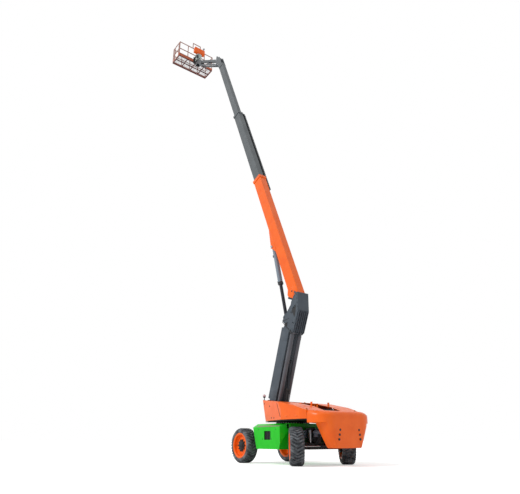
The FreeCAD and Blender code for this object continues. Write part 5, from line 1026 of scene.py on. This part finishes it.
# %% Collars, pads and bolts
SECTIONS = {
    # name: collar's end, half width, below, above, half width of the section inside, below, above
    "base": (6.400, 0.160, 0.310, 0.165, 0.135, 0.270, 0.125),
    "mid": (11.400, 0.135, 0.270, 0.125, 0.110, 0.240, 0.095),
}
PAD_GAP = 1.5 * MM
for tag, (end, half, below, above, in_half, in_below, in_above) in SECTIONS.items():
    slot = f"{tag}_boom"
    bm = bmesh.new()
    for side in (1, -1):
        for t in (-0.6 * below, 0, 0.55 * above):
            for back in (0.045, 0.105):
                add_bolt(bm, BOOM @ Vector((end - back, side * (half + 0.025), t)), side * Y, 11 * MM)
    for y in (-0.6 * half, 0, 0.6 * half):
        for t, way in ((above + 0.025, 1), (-below - 0.025, -1)):
            add_bolt(bm, BOOM @ Vector((end - 0.07, y, t)), BOOM.to_3x3() @ (way * Z), 11 * MM)
    keep(bm, f"{tag}_pad_bolts", zinc, slot)
    bm = bmesh.new()
    mouth, back = end - 0.002, end - 0.03
    for side in (1, -1):
        for t0, t1 in ((-in_below + 0.01, -in_below + 0.09), (in_above - 0.08, in_above - 0.01)):
            add_block(bm, (back, side * (in_half + PAD_GAP), t0), (mouth, side * (half - 0.004), t1), BOOM,
                      soft=3 * MM)
    for y in (-0.55 * in_half, 0.55 * in_half):
        for t0, t1 in ((in_above + PAD_GAP, above - 0.004), (-below + 0.004, -in_below - PAD_GAP)):
            add_block(bm, (back, y - 0.04, t0), (mouth, y + 0.04, t1), BOOM, soft=3 * MM)
    keep(bm, f"{tag}_wear_pads", black_plastic, slot)
print("boom sections with pads:", sorted(SECTIONS))

# %% Doublers and foot of the base section
BASE_HALF = SECTIONS["base"][1]
bm = bmesh.new()
for side in (1, -1):
    face = side * BASE_HALF
    add_block(bm, (2.30, face - 0.005, -0.300), (3.30, face + 0.005, -0.235), BOOM, soft=3 * MM)
    add_block(bm, (-0.10, face - 0.006, -0.27), (0.30, face + 0.006, 0.13), BOOM, soft=3 * MM)
    ring = BOOM @ aim((0.117, side * 0.165, -0.112), side * Y)
    add_turned(bm, [(0.041, 0), (0.060, 0), (0.060, 0.006), (0.045, 0.008), (0.041, 0.004),
                    (0.041, 0)], ring)
keep(bm, "base_doublers", orange, "base_boom")
FOOT = [(-0.11, 6.08), (-0.07, 5.78), (-0.13, 5.68), (-0.367, 5.584), (-0.44, 5.83)]
FOOT_PAD = [(-0.11, 5.695), (-0.10, 5.625), (-0.33, 5.535), (-0.365, 5.586)]
bm = bmesh.new()
for side in (1, -1):
    add_slab(bm, FOOT, side, 0.170, 0.020)
keep(bm, "base_foot_plates", orange, "base_boom")
bm = bmesh.new()
for side in (1, -1):
    add_slab(bm, FOOT_PAD, side, 0.172, 0.024)
    add_turned(bm, [(0, -0.002), (0.032, -0.002), (0.032, 0.003), (0.026, 0.004), (0.022, 0.001),
                    (0, 0.001)], aim((-0.330, side * 0.170, 5.872), side * Y), steps=24)
keep(bm, "base_foot_pads", hose_rubber, "base_boom")
print("foot plates with corners:", len(FOOT))

# %% Bracket pins, clamps and pipes of the base section
BASE_PIPES, PIPE_CLAMPS = (-0.225, -0.200, -0.175), 9
bm = bmesh.new()
for side in (1, -1):
    add_pin_cap(bm, BOOM @ Vector((2.596, side * 0.147, -0.459)), side, 0.05, keeper=2.4)
keep(bm, "bracket_pins", zinc, "base_boom")
bm = bmesh.new()
for i in range(PIPE_CLAMPS):
    s = 0.75 + 0.6 * i
    add_block(bm, (s - 0.018, -0.185, -0.245), (s + 0.018, -0.158, -0.155), BOOM, soft=2 * MM)
keep(bm, "base_pipe_clamps", black_plastic, "base_boom")
for i, t in enumerate(BASE_PIPES):
    route = [(0.45, -0.150, t), (0.55, -0.172, t), (0.8, -0.173, t), (3.0, -0.173, t), (5.5, -0.173, t),
             (5.75, -0.172, t), (5.85, -0.150, t)]
    pipe(f"base_pipe_{i}", route, 14 * MM, zinc, "base_boom", BOOM)
print("pipes on the base section:", len(BASE_PIPES))


# %% [markdown]
# ## Lifting cylinders
# A hydraulic cylinder is a honed barrel with a screwed gland where its rod comes out. Ports are
# welded on, a holding valve is bolted to the barrel so that a burst hose can't drop the boom, and
# a steel pipe feeds the far end. All three cylinders are made alike, at their own sizes.

# %% Cylinder fittings
CYLINDERS = {
    # name: joint of the barrel's eye, slide joint, barrel radius and length, rod radius, pipe's side
    "lift": ("lift_barrel_pivot", "lift_rod_slide", 0.095, 1.700, 0.065, 1),
    "tower": ("tower_barrel_pivot", "tower_rod_slide", 0.068, 0.980, 0.042, 1),
    "jib": ("jib_barrel_pivot", "jib_rod_slide", 0.042, 0.740, 0.025, -1),
}
for tag, (pivot, slide, radius, length, rod, way) in CYLINDERS.items():
    place = tilted(joint_at(pivot), joints[slide]["axis"])
    slot = f"{tag}_cylinder_barrel"
    lie = Matrix.Rotation(math.pi / 2, 4, "Y")
    bm = bmesh.new()
    gland = place @ Matrix.Translation((length - 0.085, 0, 0)) @ lie
    add_turned(bm, [(radius - 0.004, 0), (radius + 0.013, 0), (radius + 0.015, 0.004),
                    (radius + 0.015, 0.075), (radius + 0.008, 0.085), (rod + 0.006, 0.086),
                    (rod + 0.002, 0.080), (radius - 0.004, 0.080), (radius - 0.004, 0)], gland)
    for spot in circle(12, 0.5 * (radius + rod), 0.084):
        add_round(bm, 0.07 * radius, 0.006, gland @ Matrix.Translation(spot), steps=8)
    keep(bm, f"{tag}_gland", chassis_black, slot)
    bm = bmesh.new()
    foot, head = 0.16 * length + 0.08, length - 0.16
    near, far = radius + 0.012, 1.3 * radius
    for s, size in ((foot, 1.0), (head, 0.6)):
        reach, top = 0.5 * size * radius, far + 0.35 * size * radius
        add_block(bm, (s - reach, -0.32 * radius, way * (radius - 0.006)),
                  (s + reach, 0.32 * radius, way * top), place, soft=4 * MM)
        add_bolt(bm, place @ Vector((s, 0, way * (top - 0.002))), place.to_3x3() @ (way * Z), 0.12 * radius)
    keep(bm, f"{tag}_valve", chassis_black, slot)
    route = [(foot + 0.4 * radius, far), (0.36 * length, near), (0.6 * length, near),
             (head - 0.35 * radius, far)]
    pipe(f"{tag}_feed", [(s, 0, way * t) for s, t in route], 0.13 * radius + 0.004, zinc, slot, place)
print("cylinders:", sorted(CYLINDERS))


# %% [markdown]
# ## Hose carrier
# The carrier's links are moulded and pinned together, and the hoses run inside them. Each link
# gets the head of its hinge pin on the outer side and a bar across its top and its bottom.

# %% Links' pins and bars
CARRIER_START, CARRIER_PITCH, CARRIER_LINKS = 5.642, 0.120, 47
bm = bmesh.new()
for i in range(CARRIER_LINKS):
    s = CARRIER_START + CARRIER_PITCH * i
    pin = Matrix.Translation((s, -0.2755, 0.080)) @ Matrix.Rotation(math.pi / 2, 4, "X")
    bmesh.ops.create_cone(bm, cap_ends=True, segments=10, radius1=0.030, radius2=0.026, depth=0.006,
                          matrix=BOOM @ pin)
    for t in (0.0105, 0.1515):
        bar = Matrix.LocRotScale((s, -0.235, t), None, (0.022, 0.06, 0.010))
        bmesh.ops.create_cube(bm, size=1, matrix=BOOM @ bar)
keep(bm, "carrier_pins", grey_plastic, "cable_carrier")
print("carrier links:", CARRIER_LINKS)


# %% [markdown]
# ## Jib and rotator
# The jib's arm has doubler plates where loads enter it, and two steel pipes with clamps along its
# top carry oil to the rotator. The rotator is a helical actuator: a thick drum whose end flanges
# are bolted all round, with a valve block on its side that two short hoses feed.

# %% Jib fittings
jib_length = (joint_at("jib_head_level") - joint_at("jib_lift")).length
bm = bmesh.new()
for side in (1, -1):
    add_pin_cap(bm, joint_at("jib_lift") + side * 0.103 * Y, side, 0.042, keeper=2.2)
    add_pin_cap(bm, joint_at("jib_bars_pivot") + side * 0.134 * Y, side, 0.040, keeper=-0.8)
    add_pin_cap(bm, joint_at("head_level") + side * 0.104 * Y, side, 0.055, keeper=0.4)
keep(bm, "pivot_pins", zinc, "jib_pivot")
bm = bmesh.new()
for face in (0.085, -0.085):
    for s0, s1, half in ((1.12, 1.40, 0.055), (jib_length - 0.30, jib_length - 0.10, 0.05)):
        add_block(bm, (s0, face - 0.004, -half), (s1, face + 0.004, half), JIB, soft=3 * MM)
keep(bm, "jib_doublers", boom_grey, "jib_arm")
bm = bmesh.new()
for s in (0.35, 0.85, 1.35, 1.85, 2.2):
    add_block(bm, (s - 0.015, -0.045, 0.062), (s + 0.015, 0.045, 0.086), JIB, soft=2 * MM)
    add_bolt(bm, JIB @ Vector((s, 0, 0.085)), JIB.to_3x3() @ Z, 6 * MM)
keep(bm, "jib_clamps", black_plastic, "jib_arm")
for i, y in enumerate((-0.028, 0.028)):
    route = [(0.12, y, 0.068), (0.22, y, 0.076), (1.0, y, 0.076), (jib_length - 0.25, y, 0.076),
             (jib_length - 0.12, y, 0.068)]
    pipe(f"jib_pipe_{i}", route, 13 * MM, zinc, "jib_arm", JIB)
print("jib length", round(jib_length, 3))

# %% Rotator
drum_low, drum_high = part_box("rotator")
DRUM_RADIUS = (drum_high.x - drum_low.x) / 2
drum = Matrix.Translation((joint_at("platform_rotate").x, 0, drum_low.z))
height = drum_high.z - drum_low.z
lower_half = [(0, 0.001), (DRUM_RADIUS - 0.004, 0.001), (DRUM_RADIUS, 0.005), (DRUM_RADIUS, 0.040),
              (DRUM_RADIUS - 0.018, 0.048), (DRUM_RADIUS - 0.022, 0.060)]
bm = bmesh.new()
add_turned(bm, lower_half + [(radius, height - z) for radius, z in reversed(lower_half)], drum, steps=64)
shell = keep(bm, "rotator_drum", drum_grey, "rotator")
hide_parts("rotator")
bm = bmesh.new()
for level, way in ((0.042, Z), (height - 0.042, -Z)):
    for spot in circle(16, DRUM_RADIUS - 0.024, level, first=0.5):
        add_bolt(bm, drum @ spot, way, 5 * MM)
for spot in circle(12, DRUM_RADIUS, height - 0.022):
    add_bolt(bm, drum @ spot, (spot.x, spot.y, 0), 6 * MM)
keep(bm, "rotator_bolts", zinc, "rotator")
print("drum radius", round(DRUM_RADIUS, 3))

# %% Valve block and hoses of the rotator
VALVE_TURN = 128
bm = bmesh.new()
valve = drum @ Matrix.Translation((0, 0, 0.14)) @ Matrix.Rotation(math.radians(VALVE_TURN), 4, "Z")
add_block(bm, (DRUM_RADIUS - 0.03, -0.075, 0), (DRUM_RADIUS + 0.045, 0.075, 0.17), valve, soft=4 * MM)
for y in (-0.04, 0.04):
    add_round(bm, 18 * MM, 0.05, valve @ Matrix.Translation((DRUM_RADIUS + 0.01, y, 0.165)), steps=12)
    add_round(bm, 13 * MM, 0.03, valve @ Matrix.Translation((DRUM_RADIUS + 0.01, y, -0.028)), steps=6)
keep(bm, "rotator_valve", chassis_black, "rotator")
for i, drop in enumerate((0.02, 0.06)):
    route = [(0, 0.01, 0.13), (4, 0.03, 0.10 - drop), (24, 0.024, 0.09 - drop), (44, 0.02, 0.10 - drop),
             (56, -0.03, 0.11 - drop)]
    points = [Matrix.Rotation(math.radians(VALVE_TURN + turn), 3, "Z") @ Vector((DRUM_RADIUS + reach, 0, z))
              for turn, reach, z in route]
    pipe(f"rotator_hose_{i}", points, 15 * MM, hose_rubber, "rotator", drum)
print("rotator hoses:", i + 1)


# %% [markdown]
# ## Work platform
# The floor is a steel grating on a frame, so light comes through it. Its bars are long and many,
# so each one is a bare four-sided strip. The frame's paint changes twice with height: below the
# floor it is painted dark as painted shade, and above the toe boards it is painted paler as
# painted light on the thin rails. The console has sticks and a stop button on its sloping face
# and doors on its back. A work lamp stands on the rail, and the gate gets a latch.

# %% Grating
floor_low, floor_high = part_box("platform_floor")
BAR_PITCH = 38 * MM
BAR_WIDTH = 5 * MM
bm = bmesh.new()
size = floor_high - floor_low
for across, count in ((0, round(size.y / BAR_PITCH)), (1, round(size.x / BAR_PITCH))):
    for i in range(count + 1):
        middle = (floor_low + floor_high) / 2
        scale = Vector((size.x, size.y, 0.8 * size.z))
        if across:
            middle.x = floor_low.x + BAR_WIDTH / 2 + (size.x - BAR_WIDTH) * i / count
            scale.x = BAR_WIDTH
        else:
            middle.y = floor_low.y + BAR_WIDTH / 2 + (size.y - BAR_WIDTH) * i / count
            scale.y = BAR_WIDTH
        bmesh.ops.create_cube(bm, size=1, matrix=Matrix.LocRotScale(middle, None, scale))
grating = keep(bm, "platform_grating", galvanised, "platform_floor")
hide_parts("platform_floor")
print("grating bars", len(grating.data.polygons) // 6)

# %% Painted shade and painted light on the platform's frame
FLOOR_TOP = floor_high.z
# Below the floor the frame is painted dark as painted shade; above the toe boards the rails are painted paler as
# painted light.
repaint(rail_orange, "Z", FLOOR_TOP - 0.002, "LESS_THAN", "#5A2A26")
repaint(rail_orange, "Z", FLOOR_TOP + 0.2, "GREATER_THAN", "#A8786A")
print("beams painted below", round(FLOOR_TOP, 3))

# %% The console's panels and controls
panel_low, panel_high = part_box("control_console")
bm = bmesh.new()
slope = (Vector((panel_high.x, 0, panel_low.z + 0.270)), Vector((panel_low.x, 0, panel_high.z)))
along = (slope[1] - slope[0]).normalized()
PANEL = Matrix.Translation(slope[0]) @ Matrix((along, Y, along.cross(Y))).transposed().to_4x4()
reach = (slope[1] - slope[0]).length
up = -Z if PANEL.to_3x3().col[2].z < 0 else Z
for y0, y1 in ((panel_low.y + 0.03, -0.16), (-0.13, panel_high.y - 0.03)):
    add_block(bm, (0.03, y0, -0.003), (reach - 0.03, y1, 0.003), PANEL, soft=2 * MM)
for i in range(9):
    knob = PANEL @ aim(Vector((0.055, panel_low.y + 0.08 + 0.068 * i, 0)) + 0.002 * up, up)
    add_round(bm, 9 * MM, 0.020, knob, steps=12)
keep(bm, "console_panels", grey_plastic, "control_console")
bm = bmesh.new()
for y in (-0.38, -0.02, 0.13):
    stick = PANEL @ aim((0.13, y, 0), up)
    add_turned(bm, [(0, -0.001), (0.042, -0.001), (0.042, 0.006), (0.030, 0.014), (0.024, 0.022),
                    (0.012, 0.030), (0.009, 0.034), (0.009, 0.085), (0.017, 0.092), (0.020, 0.115),
                    (0.016, 0.132), (0, 0.136)], stick, steps=20)
keep(bm, "console_sticks", black_plastic, "control_console")
bm = bmesh.new()
add_turned(bm, [(0, 0), (0.014, 0), (0.014, 0.014), (0.024, 0.018), (0.024, 0.028), (0.016, 0.034),
                (0, 0.036)], PANEL @ aim((0.12, -0.22, 0), up), steps=20)
keep(bm, "stop_button", red_plastic, "control_console")
bm = bmesh.new()
back, foot = panel_low.x, panel_low.z
for y0, y1, top in ((panel_low.y + 0.05, -0.17, 0.31), (-0.11, panel_high.y - 0.05, 0.24)):
    add_block(bm, (back - 0.008, y0, foot + 0.04), (back + 0.004, y1, foot + top), soft=6 * MM)
    for y in (y0 + 0.03, y1 - 0.03):
        add_bolt(bm, (back - 0.007, y, foot + top - 0.03), -X, 6 * MM)
keep(bm, "console_doors", orange, "control_console")
print("console slopes over", round(reach, 3))

# %% Work lamp and gate latch
rail_low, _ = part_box("platform_frame")
LAMP_AT = Vector((rail_low.x + 0.02, -0.53, 24.975))
bm = bmesh.new()
add_round(bm, 11 * MM, 0.30, Matrix.Translation((LAMP_AT.x, LAMP_AT.y, 24.64)), steps=12)
lamp = aim(LAMP_AT, (-0.8, 0.2, -0.25))
add_turned(bm, [(0, -0.05), (0.05, -0.045), (0.062, -0.02), (0.066, 0.03), (0.060, 0.036), (0, 0.036)],
           lamp, steps=24)
keep(bm, "work_lamps", black_plastic, "platform_frame")
bm = bmesh.new()
add_turned(bm, [(0, 0.035), (0.057, 0.035), (0.050, 0.044), (0, 0.047)], lamp, steps=24)
keep(bm, "lamp_glasses", lens_plastic("clear_acrylic", "#F2F4F6"), "platform_frame")
bm = bmesh.new()
gate_low, gate_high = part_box("gate")
add_block(bm, (gate_low.x - 0.012, gate_high.y - 0.05, 24.35),
          (gate_low.x + 0.045, gate_high.y + 0.006, 24.44), soft=4 * MM)
add_round(bm, 7 * MM, 0.10, aim((gate_low.x + 0.02, gate_high.y - 0.01, 24.40), (1, 0.15, 0)), steps=12)
keep(bm, "gate_latch", zinc, "gate")
print("lamp at", [round(v, 3) for v in LAMP_AT])


# %% [markdown]
# ## Camera, floor and light
# The camera stands low, about 18 m from the turntable, and looks up at it. The floor and the sky
# are white to the camera, while the object is lit at a plain level: a white dome fills the
# shadows and one broad sun from the left gives the covers their shape.

# %% Camera
CAMERA_AT = Vector((-13.56, 11.39, 0.76))
CAMERA_YAW = math.radians(-36.39)
CAMERA_PITCH = math.radians(21.66)
LENS_MM = 33.5
SENSOR_MM = 36
lens = bpy.data.cameras.new("camera")
lens.lens = LENS_MM
lens.sensor_width = SENSOR_MM
lens.clip_end = 200
camera = bpy.data.objects.new("camera", lens)
bpy.context.scene.collection.objects.link(camera)
level = math.cos(CAMERA_PITCH)
look = Vector((level * math.cos(CAMERA_YAW), level * math.sin(CAMERA_YAW), math.sin(CAMERA_PITCH)))
camera.matrix_world = Matrix.LocRotScale(CAMERA_AT, look.to_track_quat("-Z", "Y"), None)
bpy.context.scene.camera = camera
bpy.context.scene.view_settings.view_transform = "Standard"


# %% Floor, sky and sun
FLOOR_SIZE = 400
FLOOR_GLOW = 0.45
floor_mesh = bmesh.new()
bmesh.ops.create_grid(floor_mesh, x_segments=1, y_segments=1, size=FLOOR_SIZE / 2)
floor_data = bpy.data.meshes.new("floor")
floor_mesh.to_mesh(floor_data)
floor_mesh.free()
floor = bpy.data.objects.new("floor", floor_data)
bpy.context.scene.collection.objects.link(floor)
pale = bpy.data.materials.new("pale_floor")
pale.use_nodes = True
pale.node_tree.nodes.clear()
matt = add(pale.node_tree, "ShaderNodeBsdfDiffuse", {"Color": colour("#FFFFFF")})
eye = add(pale.node_tree, "ShaderNodeLightPath", {})
glow = add(pale.node_tree, "ShaderNodeMath", {0: eye.outputs["Is Camera Ray"], 1: FLOOR_GLOW},
           operation="MULTIPLY")
glow = add(pale.node_tree, "ShaderNodeEmission", {"Color": colour("#FFFFFF"), "Strength": glow.outputs[0]})
both = add(pale.node_tree, "ShaderNodeAddShader", {0: matt.outputs["BSDF"], 1: glow.outputs["Emission"]})
add(pale.node_tree, "ShaderNodeOutputMaterial", {"Surface": both.outputs["Shader"]})
floor_data.materials.append(pale)

SKY_LIGHT = 0.55
world = bpy.data.worlds.new("sky")
bpy.context.scene.world = world
world.use_nodes = True
sky = world.node_tree
sky.nodes.clear()
paths = add(sky, "ShaderNodeLightPath", {})
seen = add(sky, "ShaderNodeMath", {0: paths.outputs["Is Camera Ray"], 1: paths.outputs["Is Glossy Ray"]},
           operation="MAXIMUM")
seen = add(sky, "ShaderNodeMath", {0: seen.outputs[0], 1: paths.outputs["Is Transmission Ray"]},
           operation="MAXIMUM")
power = add(sky, "ShaderNodeMapRange", {"Value": seen.outputs[0], "To Min": SKY_LIGHT, "To Max": 1.0})
dome = add(sky, "ShaderNodeBackground", {"Color": (1, 1, 1, 1), "Strength": power.outputs["Result"]})
add(sky, "ShaderNodeOutputWorld", {"Surface": dome.outputs["Background"]})

SUN_POWER = 1.5
sun = bpy.data.lights.new("sun", "SUN")
sun.energy = SUN_POWER
sun.angle = math.radians(18)
sun_object = bpy.data.objects.new("sun", sun)
bpy.context.scene.collection.objects.link(sun_object)
sun_from = Vector((0.22, 0.85, 0.80))
sun_object.matrix_world = Matrix.LocRotScale(10 * sun_from, sun_from.to_track_quat("Z", "Y"), None)
